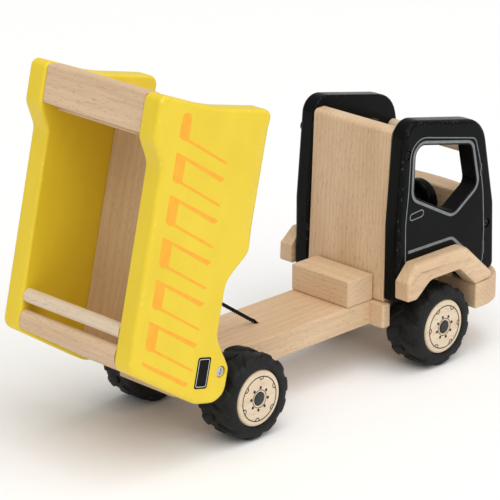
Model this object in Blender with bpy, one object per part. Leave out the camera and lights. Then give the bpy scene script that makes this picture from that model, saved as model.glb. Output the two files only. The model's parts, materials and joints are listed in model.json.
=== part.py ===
"""Wooden toy dump truck: every piece as its own solid, with the tipper body raised.

Sizes are in millimetres and become metres as each mesh is made. The truck drives towards -Y,
+Z is up and the ground is z = 0. While modelling, the rear axle is at y = 0; the last step
moves everything so that the origin is the middle of the truck's outline on the ground.
"""
import math

import bmesh
import bpy
from mathutils import Vector

METRES = 0.001
GAP = 0.3                      # between pieces that are glued or rest face to face

# Wheels
WHEELBASE = 210.0
WIDTH_OVER_TYRES = 141.0
TYRE_DIAMETER = 68.0
TYRE_WIDTH = 35.0
RIM_DIAMETER = 45.0
AXLE_DIAMETER = 7.0
HUB_CAP_DIAMETER = 10.4
HUB_CAP_THICKNESS = 2.0
WHEEL_SEGMENTS = 32

# Boards
CAB_BOARD = 15.0               # cab sides
BODY_SIDE_BOARD = 18.0         # tipper sides
BODY_BOARD = 15.0              # tipper floor, head bar and tail board
BACK_BOARD = 15.0              # cab back panel and the wall at the head of the tipper
CHASSIS_THICKNESS = 20.0
BEAM_WIDTH = 62.0
SHOULDER_WIDTH = 92.0
REAR_OVERHANG = 51.0           # chassis behind the rear axle
STOP_BLOCK_DEPTH = 29.0
PIVOT_BLOCK = 18.4             # height and depth of the block that carries the tipper
PIVOT_CORNER = 3.0             # rounding of its long edges
FLOOR_PLAY = 1.13              # room between those edges and the tipper floor as it turns past them
AXLE_BLOCK_DEPTH = 24.0

# Cab
CAB_INNER_WIDTH = 84.0
CAB_REAR_FROM_AXLE = 42.0      # rear edge of the cab, behind the front axle
CAB_FRONT_FROM_AXLE = 76.2     # front edge of the cab, ahead of the front axle
CAB_HEIGHT = 149.8             # from the bumper's top to the highest corner of the side boards
BACK_PANEL_HEIGHT = 142.0
BACK_PANEL_LEAN = math.radians(2.5)
DASH_HEIGHT = 65.7
DASH_SETBACK = 21.2            # rear face, behind the front edge of the cab sides
DASH_THICKNESS = 20.0          # at the middle of its bowed front
DASH_BOW = 5.0
FENDER_THICKNESS = 14.2
BUMPER_HEIGHT = 22.0
BUMPER_DEPTH = 47.0
BUMPER_CORNER = 35.0             # rounding of its two front corners, seen from above
ROOF_DOWEL_DIAMETER = 11.0
STEERING_DIAMETER = 36.0
STEERING_THICKNESS = 10.0
STEERING_PIN_DIAMETER = 6.0
STEERING_DROP = 13.0           # its axis below the top of the dash
STEERING_REACH = 5.0           # from the dash to the wheel

# Tipper body, measured from its pivot: u runs to the head, w is up when it is lowered
TILT = math.radians(76.8)
PIVOT_FROM_REAR_AXLE = 40.3
BODY_WIDTH = 141.0
BODY_LENGTH = 207.5            # pivot to the upper head corner
BODY_SIDE_TOP = 95.0
BODY_HEAD_TOP = 106.5
BODY_SIDE_BOTTOM = -10.5
BODY_WHEEL_RELIEF = 8.8        # lower edge where the side clears the rear wheel
BODY_LUG_FRONT = -8.5          # lower edge of the lug round the pivot
BODY_TAIL = -24.5
FLOOR_HEAD_SETBACK = 21.5      # floor and head wall end this far short of the upper head corner
HEAD_BAR_LENGTH = 29.5
TIPPER_DOWEL_DIAMETER = 11.0
TIPPER_DOWEL_U = 30.0

# Cord
CORD_DIAMETER = 2.6
CORD_HOLE_DIAMETER = 5.0
KNOT_DIAMETER = 7.0
KNOT_RECESS_DIAMETER = 10.0
KNOT_RECESS_DEPTH = 8.0
CORD_FROM_REAR_AXLE = 66.5     # hole in the chassis, ahead of the rear axle
CORD_FROM_PIVOT = 61.5         # hole in the tipper floor, from the pivot towards the head

# Screws
PIVOT_SHANK = 4.4
PIVOT_HEAD = 9.0
CAB_SHANK = 3.0
CAB_HEAD = 6.4
REAR_SCREW_HEIGHT = 124.0      # above the chassis deck
FRONT_SCREW_HEIGHT = 41.5      # above the bumper
HEAD_THICKNESS = 2.2
SCREW_PLAY = 0.4               # round a shank or a head
HEAD_SINK = 0.8                # how far a head sits below the board's face

# Places that follow from the sizes above
TYRE_RADIUS = TYRE_DIAMETER / 2
AXLE_Z = TYRE_RADIUS
FRONT_AXLE_Y = -WHEELBASE
CHASSIS_BOTTOM = AXLE_Z + AXLE_DIAMETER / 2 + 0.5
CHASSIS_TOP = CHASSIS_BOTTOM + CHASSIS_THICKNESS
DECK = CHASSIS_TOP + GAP
BUMPER_REAR_Y = FRONT_AXLE_Y - TYRE_RADIUS - 3.0
BUMPER_BOTTOM = CHASSIS_BOTTOM + 1.0
BUMPER_TOP = BUMPER_BOTTOM + BUMPER_HEIGHT
CAB_FLOOR = BUMPER_TOP + GAP
CAB_REAR_Y = FRONT_AXLE_Y + CAB_REAR_FROM_AXLE
CAB_FRONT_Y = FRONT_AXLE_Y - CAB_FRONT_FROM_AXLE
CAB_INNER = CAB_INNER_WIDTH / 2
CAB_OUTER = CAB_INNER + CAB_BOARD
FENDER_OUTER = CAB_OUTER + GAP + FENDER_THICKNESS
FENDER_UNDER = TYRE_DIAMETER + 11.0
PIVOT_Y = PIVOT_FROM_REAR_AXLE
PIVOT_Z = DECK + PIVOT_BLOCK / 2
BODY_OUTER = BODY_WIDTH / 2
BODY_INNER = BODY_OUTER - BODY_SIDE_BOARD
FLOOR_UNDERSIDE = PIVOT_BLOCK / 2 * math.sqrt(2) - (math.sqrt(2) - 1) * PIVOT_CORNER + FLOOR_PLAY
FLOOR_TOP = FLOOR_UNDERSIDE + BODY_BOARD
STOP_BLOCK_TOP = PIVOT_Z + FLOOR_UNDERSIDE - GAP
TYRE_INNER = WIDTH_OVER_TYRES / 2 - TYRE_WIDTH

WOOD = ("beech", (0.70, 0.48, 0.28), 0.55, 0.0)
PALE_WOOD = ("birch", (0.78, 0.66, 0.48), 0.5, 0.0)
YELLOW = ("yellow_paint", (0.86, 0.66, 0.04), 0.35, 0.0)
BLACK = ("black_paint", (0.012, 0.013, 0.012), 0.35, 0.0)
RUBBER = ("rubber", (0.02, 0.02, 0.02), 0.7, 0.0)
STEEL = ("steel", (0.62, 0.60, 0.60), 0.3, 1.0)
CORD = ("cord", (0.01, 0.01, 0.01), 0.9, 0.0)


def material(node, finish):
    """Give one object its own Principled material."""
    _, colour, roughness, metallic = finish
    made = bpy.data.materials.new(node.name + "_" + finish[0])
    made.use_nodes = True
    shader = made.node_tree.nodes["Principled BSDF"]
    shader.inputs["Base Color"].default_value = (*colour, 1.0)
    shader.inputs["Roughness"].default_value = roughness
    shader.inputs["Metallic"].default_value = metallic
    node.data.materials.append(made)


def link(name, mesh, finish, parent=None):
    """Put a mesh in the scene as a named object, smooth but for its sharp edges."""
    mesh.shade_smooth()
    mesh.set_sharp_from_angle(angle=math.radians(35))
    node = bpy.data.objects.new(name, mesh)
    bpy.context.scene.collection.objects.link(node)
    node.parent = parent
    material(node, finish)
    return node


def pivot(name, y, z, turn=0.0):
    """An empty on a joint's axis, which runs along X."""
    empty = bpy.data.objects.new(name, None)
    bpy.context.scene.collection.objects.link(empty)
    empty.location = (0.0, y * METRES, z * METRES)
    empty.rotation_euler = (turn, 0.0, 0.0)
    return empty


# ---------------------------------------------------------------- outlines

def corners(points, step=math.radians(18)):
    """Round each corner (a, b, radius) of a closed outline with an arc."""
    outline = []
    for index, (a, b, radius) in enumerate(points):
        here = Vector((a, b))
        before = (Vector(points[index - 1][:2]) - here).normalized()
        after = (Vector(points[(index + 1) % len(points)][:2]) - here).normalized()
        if radius <= 0:
            outline.append(here)
            continue
        inside = before.angle(after)
        turn = math.pi - inside
        tangent = radius * math.tan(turn / 2)
        centre = here + (before + after).normalized() * (radius / math.sin(inside / 2))
        start = here + before * tangent - centre
        side = 1.0 if before.cross(after) < 0 else -1.0
        count = max(1, round(turn / step))
        for k in range(count + 1):
            angle = side * turn * k / count
            outline.append(centre + Vector((start.x * math.cos(angle) - start.y * math.sin(angle),
                                            start.x * math.sin(angle) + start.y * math.cos(angle))))
    return outline


def circle(a, b, radius, count=16):
    return [Vector((a + radius * math.cos(2 * math.pi * k / count),
                    b + radius * math.sin(2 * math.pi * k / count))) for k in range(count)]


def box_outline(a0, a1, b0, b1, radius=0.0):
    return corners([(a0, b0, radius), (a1, b0, radius), (a1, b1, radius), (a0, b1, radius)])


def area(outline):
    return sum(p.cross(outline[(k + 1) % len(outline)]) for k, p in enumerate(outline)) / 2


def inset_directions(outline):
    """For each point, the direction that moves both of its edges inwards by one."""
    turned = 1.0 if area(outline) > 0 else -1.0
    directions = []
    for index, here in enumerate(outline):
        before = (here - outline[index - 1]).normalized()
        after = (outline[(index + 1) % len(outline)] - here).normalized()
        normals = [Vector((-edge.y, edge.x)) * turned for edge in (before, after)]
        middle = (normals[0] + normals[1]).normalized()
        directions.append(middle / max(0.5, middle.dot(normals[0])))
    return directions


# ---------------------------------------------------------------- solids

AXES = {"X": lambda a, b, c: (c, a, b), "Z": lambda a, b, c: (a, b, c)}


def plate(name, outline, low, high, axis, finish, edges=(1.5, 1.5), holes=(), parent=None,
          depth_at=None, steps=2):
    """A board: an outline carried from low to high along an axis, with rounded edges.

    edges gives the rounding at the low and the high face, each as one radius or one for every
    point. depth_at(a, b) may tilt the faces by adding to both depths.
    """
    bm = bmesh.new()
    place = AXES[axis]
    caps = ([], [])
    for loop, is_hole in [(outline, False)] + [(hole, True) for hole in holes]:
        radii = [[value] * len(loop) if isinstance(value, (int, float)) else value for value in edges]
        if is_hole:
            radii = [[min(0.8, min(r))] * len(loop) for r in radii]
        directions = inset_directions(loop)
        flip = -1.0 if is_hole else 1.0
        levels = [(low, 1.0, radii[0], math.pi / 2 * k / steps) for k in range(steps + 1)]
        levels += [(high, -1.0, radii[1], math.pi / 2 * k / steps) for k in range(steps, -1, -1)]
        rings = []
        for depth, sign, radius, angle in levels:
            ring = []
            for point, direction, r in zip(loop, directions, radius):
                inward = flip * r * (1 - math.sin(angle))
                c = depth + sign * r * (1 - math.cos(angle))
                a, b = point + direction * inward
                shift = depth_at(a, b) if depth_at else 0.0
                ring.append(bm.verts.new(Vector(place(a, b, c + shift)) * METRES))
            rings.append(ring)
        for lower, upper in zip(rings, rings[1:]):
            for k in range(len(loop)):
                n = (k + 1) % len(loop)
                bm.faces.new((lower[k], lower[n], upper[n], upper[k]))
        caps[0].append(rings[0])
        caps[1].append(rings[-1])
    for loops in caps:
        edges_of_cap = []
        for ring in loops:
            for k, vert in enumerate(ring):
                edges_of_cap.append(bm.edges.get((vert, ring[(k + 1) % len(ring)])))
        bmesh.ops.triangle_fill(bm, use_beauty=True, edges=edges_of_cap)
    bmesh.ops.remove_doubles(bm, verts=bm.verts, dist=0.00001)
    bmesh.ops.recalc_face_normals(bm, faces=bm.faces)
    mesh = bpy.data.meshes.new(name)
    bm.to_mesh(mesh)
    bm.free()
    return link(name, mesh, finish, parent)


def turned(name, profile, finish, centre=(0.0, 0.0, 0.0), axis="X", count=WHEEL_SEGMENTS,
           ring=False, parent=None):
    """A turned piece. profile lists (along the axis, radius); a ring's profile is a closed loop."""
    bm = bmesh.new()
    rows = []
    for along, radius in profile:
        row = []
        for k in range(1 if radius == 0 else count):
            angle = 2 * math.pi * k / count
            around = (radius * math.sin(angle), -radius * math.cos(angle))
            spot = (along, *around) if axis == "X" else (around[0], along, around[1])
            row.append(bm.verts.new((Vector(spot) + Vector(centre)) * METRES))
        rows.append(row)
    pairs = list(zip(rows, rows[1:]))
    if ring:
        pairs.append((rows[-1], rows[0]))
    for first, second in pairs:
        for k in range(count):
            n = (k + 1) % count
            if len(first) == 1:
                bm.faces.new((first[0], second[n], second[k]))
            elif len(second) == 1:
                bm.faces.new((first[k], first[n], second[0]))
            else:
                bm.faces.new((first[k], first[n], second[n], second[k]))
    bmesh.ops.recalc_face_normals(bm, faces=bm.faces)
    mesh = bpy.data.meshes.new(name)
    bm.to_mesh(mesh)
    bm.free()
    return link(name, mesh, finish, parent)


def bore(node, centre, diameter, start, end, axis="X", count=20, parent=None):
    """Cut a round hole into a piece with an exact Boolean."""
    radius = diameter / 2
    profile = [(start, 0.0), (start, radius), (end, radius), (end, 0.0)]
    if axis == "Z":
        bm_name = node.name + "_cutter"
        cutter = plate(bm_name, circle(centre[0], centre[1], radius, count), start, end, "Z", WOOD,
                       edges=(0.0, 0.0), parent=parent, steps=1)
    else:
        cutter = turned(node.name + "_cutter", profile, WOOD, (0.0, centre[0], centre[1]), count=count,
                        parent=parent)
    cutter.hide_render = True
    cutter.display_type = "WIRE"
    cut = node.modifiers.new("hole", "BOOLEAN")
    cut.operation = "DIFFERENCE"
    cut.solver = "EXACT"
    cut.object = cutter


# ---------------------------------------------------------------- wheels

def wheel(side, name, hub, parent):
    """One tyre, rim and hub cap; side is +1 on the truck's left."""
    outer = WIDTH_OVER_TYRES / 2
    seat = RIM_DIAMETER / 2
    r = TYRE_RADIUS
    half = TYRE_WIDTH / 2
    middle = outer - half
    tread = [(half - 1.0, seat + 0.3), (half, seat + 2.0), (half, r - 4.5), (half - 1.6, r - 1.3), (half - 5.0, r)]
    tyre = [(middle + along, radius) for along, radius in tread]
    tyre += [(middle - along, radius) for along, radius in reversed(tread)]
    bore_radius = AXLE_DIAMETER / 2 + 0.3
    recess = HUB_CAP_DIAMETER / 2 + 0.3
    face = outer + 0.4
    floor = face - HUB_CAP_THICKNESS
    rim = [(TYRE_INNER + 1.5, bore_radius), (TYRE_INNER + 1.5, seat - 1.5), (TYRE_INNER + 3.0, seat),
           (face - 3.2, seat), (face - 1.1, seat - 0.8), (face, seat - 3.0), (face, recess),
           (floor, recess), (floor, bore_radius)]
    cap = [(floor + GAP, 0.0), (floor + GAP, HUB_CAP_DIAMETER / 2), (face, HUB_CAP_DIAMETER / 2),
           (face + 0.3, HUB_CAP_DIAMETER / 2 - 0.5), (face + 0.3, 0.0)]
    for piece, profile, finish, ring in (("tyre", tyre, RUBBER, True), ("rim", rim, WOOD, True),
                                         ("hub_cap", cap, BLACK, False)):
        node = turned(piece + "_" + name, [(side * x, radius) for x, radius in profile], finish,
                      ring=ring, parent=parent)
        node.location = (0.0, 0.0, 0.0)
    return floor


def axle_set(end, y):
    """The two wheels of one axle turn together with it."""
    hub = pivot(end + "_wheelset", y, AXLE_Z)
    for side, name in ((1, "left"), (-1, "right")):
        reach = wheel(side, end + "_" + name, AXLE_Z, hub)
    half = reach - 1.0
    radius = AXLE_DIAMETER / 2
    turned("axle_" + end, [(-half, 0.0), (-half, radius), (half, radius), (half, 0.0)], STEEL,
           count=20, parent=hub)


def axle_block(end, y):
    """A block under the chassis whose open groove holds the axle."""
    groove = AXLE_DIAMETER / 2 + 0.4
    half = AXLE_BLOCK_DEPTH / 2
    bottom = AXLE_Z - 11.0
    top = CHASSIS_BOTTOM - GAP
    outline = [Vector((y + groove, top)), Vector((y + half, top))]
    outline += corners([(y + half, bottom, 3.0), (y - half, bottom, 3.0)] + [(y - half, top, 0), (y + half, top, 0)])[:-2]
    outline += [Vector((y - half, top)), Vector((y - groove, top))]
    for k in range(9):
        angle = math.pi + math.pi * k / 8
        outline.append(Vector((y + groove * math.cos(angle), AXLE_Z + groove * math.sin(angle))))
    reach = BEAM_WIDTH / 2
    plate("axle_block_" + end, outline, -reach, reach, "X", WOOD, edges=(0.0, 0.0), steps=1)


# ---------------------------------------------------------------- chassis

def chassis():
    beam = BEAM_WIDTH / 2
    shoulder = SHOULDER_WIDTH / 2
    shoulder_rear = CAB_REAR_Y + 4.0
    shoulder_front = FRONT_AXLE_Y + TYRE_RADIUS + 3.0
    front = BUMPER_REAR_Y + GAP
    half = [(beam, REAR_OVERHANG, 3.0), (beam, shoulder_rear, 0.0), (shoulder, shoulder_rear, 2.0),
            (shoulder, shoulder_front, 2.0), (beam, shoulder_front, 0.0), (beam, front, 0.0)]
    mirrored = [(-x, y, r) for x, y, r in reversed(half)]
    hole = circle(0.0, -CORD_FROM_REAR_AXLE, CORD_HOLE_DIAMETER / 2)
    board = plate("chassis_board", corners(half + mirrored), CHASSIS_BOTTOM, CHASSIS_TOP, "Z", WOOD,
                  edges=(1.2, 1.2), holes=[hole])
    bore(board, (0.0, -CORD_FROM_REAR_AXLE), KNOT_RECESS_DIAMETER, CHASSIS_BOTTOM - 1.0,
         CHASSIS_BOTTOM + KNOT_RECESS_DEPTH, axis="Z")

    stop_front = CAB_REAR_Y + GAP
    plate("stop_block", box_outline(stop_front, stop_front + STOP_BLOCK_DEPTH, DECK, STOP_BLOCK_TOP, 0.8),
          -beam, beam, "X", WOOD, edges=(0.8, 0.8))

    half_block = PIVOT_BLOCK / 2
    reach = BODY_INNER - 1.0
    block = plate("pivot_block", box_outline(PIVOT_Y - half_block, PIVOT_Y + half_block,
                                             PIVOT_Z - half_block, PIVOT_Z + half_block, PIVOT_CORNER),
                  -reach, reach, "X", WOOD, edges=(0.8, 0.8))
    for side, name in ((1, "left"), (-1, "right")):
        depth = 22.0
        bore(block, (PIVOT_Y, PIVOT_Z), PIVOT_SHANK + 2 * SCREW_PLAY, side * (reach - depth - 0.5),
             side * (reach + 1.0))
        screw("pivot_screw_" + name, side, (PIVOT_Y, PIVOT_Z), BODY_OUTER, BODY_OUTER - reach + depth,
              PIVOT_HEAD, PIVOT_SHANK, STEEL)


def screw(name, side, centre, face, length, head, shank, finish):
    """A screw through a board: its head sits a little below the outer face."""
    top = face - HEAD_SINK
    under = top - HEAD_THICKNESS
    tip = face - length
    profile = [(tip, 0.0), (tip + 2.0, shank / 2), (under, shank / 2), (under, head / 2),
               (top - 0.6, head / 2), (top, head / 2 - 0.9), (top, 0.0)]
    turned(name, [(side * x, r) for x, r in profile], finish, (0.0, *centre), count=20)


def bumper():
    half = FENDER_OUTER
    front = BUMPER_REAR_Y - BUMPER_DEPTH
    outline = corners([(half, BUMPER_REAR_Y, 1.5), (-half, BUMPER_REAR_Y, 1.5), (-half, front, BUMPER_CORNER),
                       (half, front, BUMPER_CORNER)])
    plate("bumper", outline, BUMPER_BOTTOM, BUMPER_TOP, "Z", WOOD, edges=(1.5, 1.5))


# ---------------------------------------------------------------- cab

def back_panel():
    """The leaning wooden panel behind the seat, rounded along its top."""
    lean = math.tan(BACK_PANEL_LEAN)
    top = DECK + BACK_PANEL_HEIGHT
    rear = CAB_REAR_Y - 0.2
    slope = -lean * (top - DECK)
    outline = corners([(rear, DECK, 1.5), (rear + slope, top, 4.0), (rear + slope - BACK_BOARD, top, 4.0),
                       (rear - BACK_BOARD, DECK, 1.5)])
    panel = plate("cab_back_panel", outline, -CAB_INNER + GAP, CAB_INNER - GAP, "X", WOOD,
                  edges=(0.8, 0.8))
    return panel


def dash():
    """The bowed wooden front between the cab sides."""
    half = CAB_INNER - GAP
    rear = CAB_FRONT_Y + DASH_SETBACK
    front = rear - DASH_THICKNESS
    bend = (half ** 2 + DASH_BOW ** 2) / (2 * DASH_BOW)
    spread = math.asin(half / bend)
    outline = [Vector((half, rear)), Vector((-half, rear))]
    for k in range(13):
        angle = -spread + 2 * spread * k / 12
        outline.append(Vector((bend * math.sin(angle), front + bend - bend * math.cos(angle))))
    top = CAB_FLOOR + DASH_HEIGHT
    panel = plate("cab_front_panel", outline, CAB_FLOOR, top, "Z", WOOD, edges=(0.8, 1.5))
    pin_z = top - STEERING_DROP
    pin_end = rear + STEERING_REACH + STEERING_THICKNESS + 0.4
    bore_depth = 9.0
    pin = [(rear - bore_depth + 1.0, 0.0), (rear - bore_depth + 1.0, STEERING_PIN_DIAMETER / 2),
           (pin_end, STEERING_PIN_DIAMETER / 2), (pin_end, STEERING_PIN_DIAMETER / 2 + 2.2),
           (pin_end + 1.8, STEERING_PIN_DIAMETER / 2 + 1.4), (pin_end + 2.4, 0.0)]
    turned("steering_pin", pin, BLACK, (0.0, 0.0, pin_z), axis="Y", count=20)
    cutter_profile = [(rear - bore_depth, 0.0), (rear - bore_depth, STEERING_PIN_DIAMETER / 2 + GAP),
                      (rear + 2.0, STEERING_PIN_DIAMETER / 2 + GAP), (rear + 2.0, 0.0)]
    cutter = turned("cab_front_panel_cutter", cutter_profile, WOOD, (0.0, 0.0, pin_z), axis="Y", count=20)
    cutter.hide_render = True
    cutter.display_type = "WIRE"
    cut = panel.modifiers.new("pin_hole", "BOOLEAN")
    cut.operation = "DIFFERENCE"
    cut.solver = "EXACT"
    cut.object = cutter

    inner = STEERING_PIN_DIAMETER / 2 + 0.4
    outer = STEERING_DIAMETER / 2
    near = pin_end - 0.4 - STEERING_THICKNESS
    far = pin_end - 0.4
    rim = [(near, inner), (near, outer - 3.0), (near + 0.9, outer - 0.9), (near + 3.0, outer),
           (far - 3.0, outer), (far - 0.9, outer - 0.9), (far, outer - 3.0), (far, inner)]
    turned("steering_wheel", rim, BLACK, (0.0, 0.0, pin_z), axis="Y", count=32, ring=True)
    return panel


def window_outline():
    """The side window, whose lower edge drops towards the front."""
    y = FRONT_AXLE_Y
    z = CAB_FLOOR
    return corners([(y + 22.4, z + 127.4, 9.0), (y - 43.0, z + 113.4, 7.0), (y - 51.0, z + 78.0, 8.0),
                    (y - 23.0, z + 60.5, 9.0), (y + 23.9, z + 85.0, 9.0)])


def cab_outline():
    """Seen from the side: a roof line that falls to the front, and a front pillar that leans."""
    rear = CAB_REAR_Y
    front = CAB_FRONT_Y
    z = CAB_FLOOR
    arch = FENDER_UNDER + 3.0
    return corners([
        (rear, z, 2.0), (rear, z + 62.7, 20.0), (rear - 7.7, z + CAB_HEIGHT, 15.0),
        (front + 16.7, z + 130.6, 25.0), (front + 2.0, z + 57.7, 20.0), (front, z, 6.0),
        (FRONT_AXLE_Y - 41.0, z, 1.0), (FRONT_AXLE_Y - 20.0, arch, 3.0),
        (FRONT_AXLE_Y + 20.0, arch, 6.0), (FRONT_AXLE_Y + 29.0, z, 1.0)])


def fender_outline():
    """The mudguard: flat on top, a cut rear corner, and a front leg that stands on the bumper."""
    y = FRONT_AXLE_Y
    top = FENDER_UNDER + 15.8
    leg = FENDER_UNDER - 12.4
    under = FENDER_UNDER
    slope = top - CAB_FLOOR
    return [
        (y + 44.7, leg, 2.0, 1.5), (y + 44.7, leg + 15.5, 2.0, 3.0), (y + 32.5, top, 3.0, 7.0),
        (y - 29.1, top, 14.0, 8.0), (y - 29.1 - slope, CAB_FLOOR, 4.0, 3.5),
        (y - 37.0, CAB_FLOOR, 0.0, 1.2), (y - 17.5, under, 3.0, 1.2), (y + 18.0, under, 12.0, 1.2),
        (y + 34.0, leg, 5.0, 1.2)]


def fender(side, name):
    shape = fender_outline()
    outline = []
    rounding = []
    for index, (a, b, radius, edge) in enumerate(shape):
        here = corners([(p[0], p[1], p[2] if k == index else 0.0) for k, p in enumerate(shape)])
        arc = here[index:len(here) - (len(shape) - 1 - index)]
        outline += arc
        rounding += [edge] * len(arc)
    outer = FENDER_OUTER
    inner = CAB_OUTER + GAP
    if side > 0:
        edges = ([0.3] * len(outline), rounding)
        plate("fender_" + name, outline, inner, outer, "X", WOOD, edges=edges, steps=3)
    else:
        edges = (rounding, [0.3] * len(outline))
        plate("fender_" + name, outline, -outer, -inner, "X", WOOD, edges=edges, steps=3)


def cab(back, front):
    """The two black sides with their windows, the roof dowel and the screws that hold them."""
    back_face = CAB_REAR_Y - 0.2 - math.tan(BACK_PANEL_LEAN) * REAR_SCREW_HEIGHT
    rear_screw = (back_face - BACK_BOARD / 3, DECK + REAR_SCREW_HEIGHT)
    dash_side = CAB_FRONT_Y + DASH_SETBACK - (DASH_THICKNESS - DASH_BOW)
    front_screw = (dash_side + (DASH_THICKNESS - DASH_BOW) / 3, CAB_FLOOR + FRONT_SCREW_HEIGHT)
    for side, name in ((1, "left"), (-1, "right")):
        faces = (CAB_INNER, CAB_OUTER) if side > 0 else (-CAB_OUTER, -CAB_INNER)
        edges = (1.5, 4.0) if side > 0 else (4.0, 1.5)
        panel = plate("cab_side_" + name, cab_outline(), *faces, "X", BLACK, edges=edges,
                      holes=[window_outline()])
        for place, centre, board in (("rear", rear_screw, back), ("front", front_screw, front)):
            bore(panel, centre, CAB_SHANK + 2 * SCREW_PLAY, side * (CAB_INNER - 1.0), side * (CAB_OUTER + 1.0))
            bore(panel, centre, CAB_HEAD + 2 * SCREW_PLAY, side * (CAB_OUTER - HEAD_SINK - HEAD_THICKNESS - GAP),
                 side * (CAB_OUTER + 1.0))
            bore(board, centre, CAB_SHANK + 2 * SCREW_PLAY, side * (CAB_INNER - 14.0), side * (CAB_INNER + 1.0))
            screw("cab_screw_" + name + "_" + place, side, centre, CAB_OUTER, CAB_BOARD + 12.0, CAB_HEAD,
                  CAB_SHANK, BLACK)
        fender(side, name)
    radius = ROOF_DOWEL_DIAMETER / 2
    reach = CAB_INNER - GAP
    centre = (0.0, CAB_FRONT_Y + 18.4, CAB_FLOOR + 104.7)
    turned("roof_dowel", [(-reach, 0.0), (-reach, radius), (reach, radius), (reach, 0.0)], PALE_WOOD,
           centre, count=24)


# ---------------------------------------------------------------- tipper body

def side_outline():
    """The tipper's side board in (u, w): bump at the head, relief over the wheel, lug at the pivot."""
    head = BODY_LENGTH
    deep = BODY_SIDE_BOTTOM
    relief = BODY_WHEEL_RELIEF
    return [
        (BODY_TAIL, BODY_LUG_FRONT, 14.0), (BODY_TAIL, 20.0, 20.0), (3.0, BODY_SIDE_TOP, 9.0),
        (head - 52.0, BODY_SIDE_TOP, 12.0), (head - 34.0, BODY_HEAD_TOP, 12.0), (head, BODY_HEAD_TOP, 6.0),
        (head - 9.0, 50.0, 90.0), (head - 9.0, deep, 8.0), (91.0, deep, 16.0), (69.0, relief, 16.0),
        (27.0, relief, 16.0), (3.0, BODY_LUG_FRONT, 10.0)]


def tail_line(w, inset):
    """u of a line inside the slanted tail edge of the side boards."""
    slope = (3.0 - BODY_TAIL) / (BODY_SIDE_TOP - 20.0)
    lean = math.atan(slope)
    return 3.0 - (BODY_SIDE_TOP - w) * slope + inset / math.cos(lean)


def body_points(points):
    """Turn (u, w, radius) into the tipper's own (y, z, radius)."""
    return [(-u, w, radius) for u, w, radius in points]


def tipper(hinge):
    inner = BODY_INNER - GAP
    for side, name in ((1, "left"), (-1, "right")):
        faces = (BODY_INNER, BODY_OUTER) if side > 0 else (-BODY_OUTER, -BODY_INNER)
        edges = (2.5, 3.5) if side > 0 else (3.5, 2.5)
        panel = plate("tipper_side_" + name, corners(body_points(side_outline())), *faces, "X", YELLOW,
                      edges=edges, holes=[circle(0.0, 0.0, PIVOT_SHANK / 2 + SCREW_PLAY)], parent=hinge)
        bore(panel, (0.0, 0.0), PIVOT_HEAD + 2 * SCREW_PLAY,
             side * (BODY_OUTER - HEAD_SINK - HEAD_THICKNESS - GAP), side * (BODY_OUTER + 1.0), parent=hinge)

    head = BODY_LENGTH - FLOOR_HEAD_SETBACK
    floor_tail = tail_line(FLOOR_TOP, 1.5)
    floor = plate("tipper_floor",
                  corners(body_points([(floor_tail, FLOOR_UNDERSIDE, 1.5), (floor_tail, FLOOR_TOP, 1.5),
                                       (head, FLOOR_TOP, 1.5), (head, FLOOR_UNDERSIDE, 1.5)])),
                  -inner, inner, "X", WOOD, edges=(0.5, 0.5), parent=hinge)
    for diameter, low in ((CORD_HOLE_DIAMETER, FLOOR_UNDERSIDE - 1.0),
                          (KNOT_RECESS_DIAMETER, FLOOR_TOP - KNOT_RECESS_DEPTH)):
        bore(floor, (0.0, -CORD_FROM_PIVOT), diameter, low, FLOOR_TOP + 1.0, axis="Z", parent=hinge)

    bar_top = BODY_HEAD_TOP - 1.5
    bar_head = BODY_LENGTH - 2.0
    bar_tail = bar_head - HEAD_BAR_LENGTH
    bar_under = bar_top - BODY_BOARD
    plate("tipper_head_bar",
          corners(body_points([(bar_tail, bar_under, 4.0), (bar_tail, bar_top, 2.0), (bar_head, bar_top, 2.0),
                               (bar_head, bar_under, 2.0)])),
          -inner, inner, "X", WOOD, edges=(0.5, 0.5), parent=hinge)

    plate("tipper_head_wall",
          corners(body_points([(head - BACK_BOARD, FLOOR_TOP + GAP, 0.8),
                               (head - BACK_BOARD, bar_under - GAP, 0.8),
                               (head, bar_under - GAP, 0.8), (head, FLOOR_TOP + GAP, 0.8)])),
          -inner, inner, "X", WOOD, edges=(0.5, 0.5), parent=hinge)

    sunk = 2.3
    foot = FLOOR_TOP + GAP
    round_top = BODY_BOARD / 2 - 0.4
    plate("tipper_tail_board",
          corners(body_points([(tail_line(foot, sunk), foot, 0.8),
                               (tail_line(BODY_SIDE_TOP, sunk), BODY_SIDE_TOP, round_top),
                               (tail_line(BODY_SIDE_TOP, sunk + BODY_BOARD), BODY_SIDE_TOP, round_top * 0.75),
                               (tail_line(foot, sunk + BODY_BOARD), foot, 0.8)])),
          -inner, inner, "X", WOOD, edges=(0.5, 0.5), parent=hinge)

    radius = TIPPER_DOWEL_DIAMETER / 2
    turned("tipper_dowel", [(-inner, 0.0), (-inner, radius), (inner, radius), (inner, 0.0)], PALE_WOOD,
           (0.0, -TIPPER_DOWEL_U, BODY_SIDE_TOP - radius), count=24, parent=hinge)


# ---------------------------------------------------------------- cord

def body_to_truck(u, w):
    """A point of the raised tipper body as (y, z) of the truck."""
    y = PIVOT_Y - u * math.cos(TILT) + w * math.sin(TILT)
    z = PIVOT_Z + u * math.sin(TILT) + w * math.cos(TILT)
    return y, z


def bezier(first, second, third, fourth, t):
    a, b, c, d = (Vector(p) for p in (first, second, third, fourth))
    return a * (1 - t) ** 3 + b * 3 * t * (1 - t) ** 2 + c * 3 * t ** 2 * (1 - t) + d * t ** 3


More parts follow.
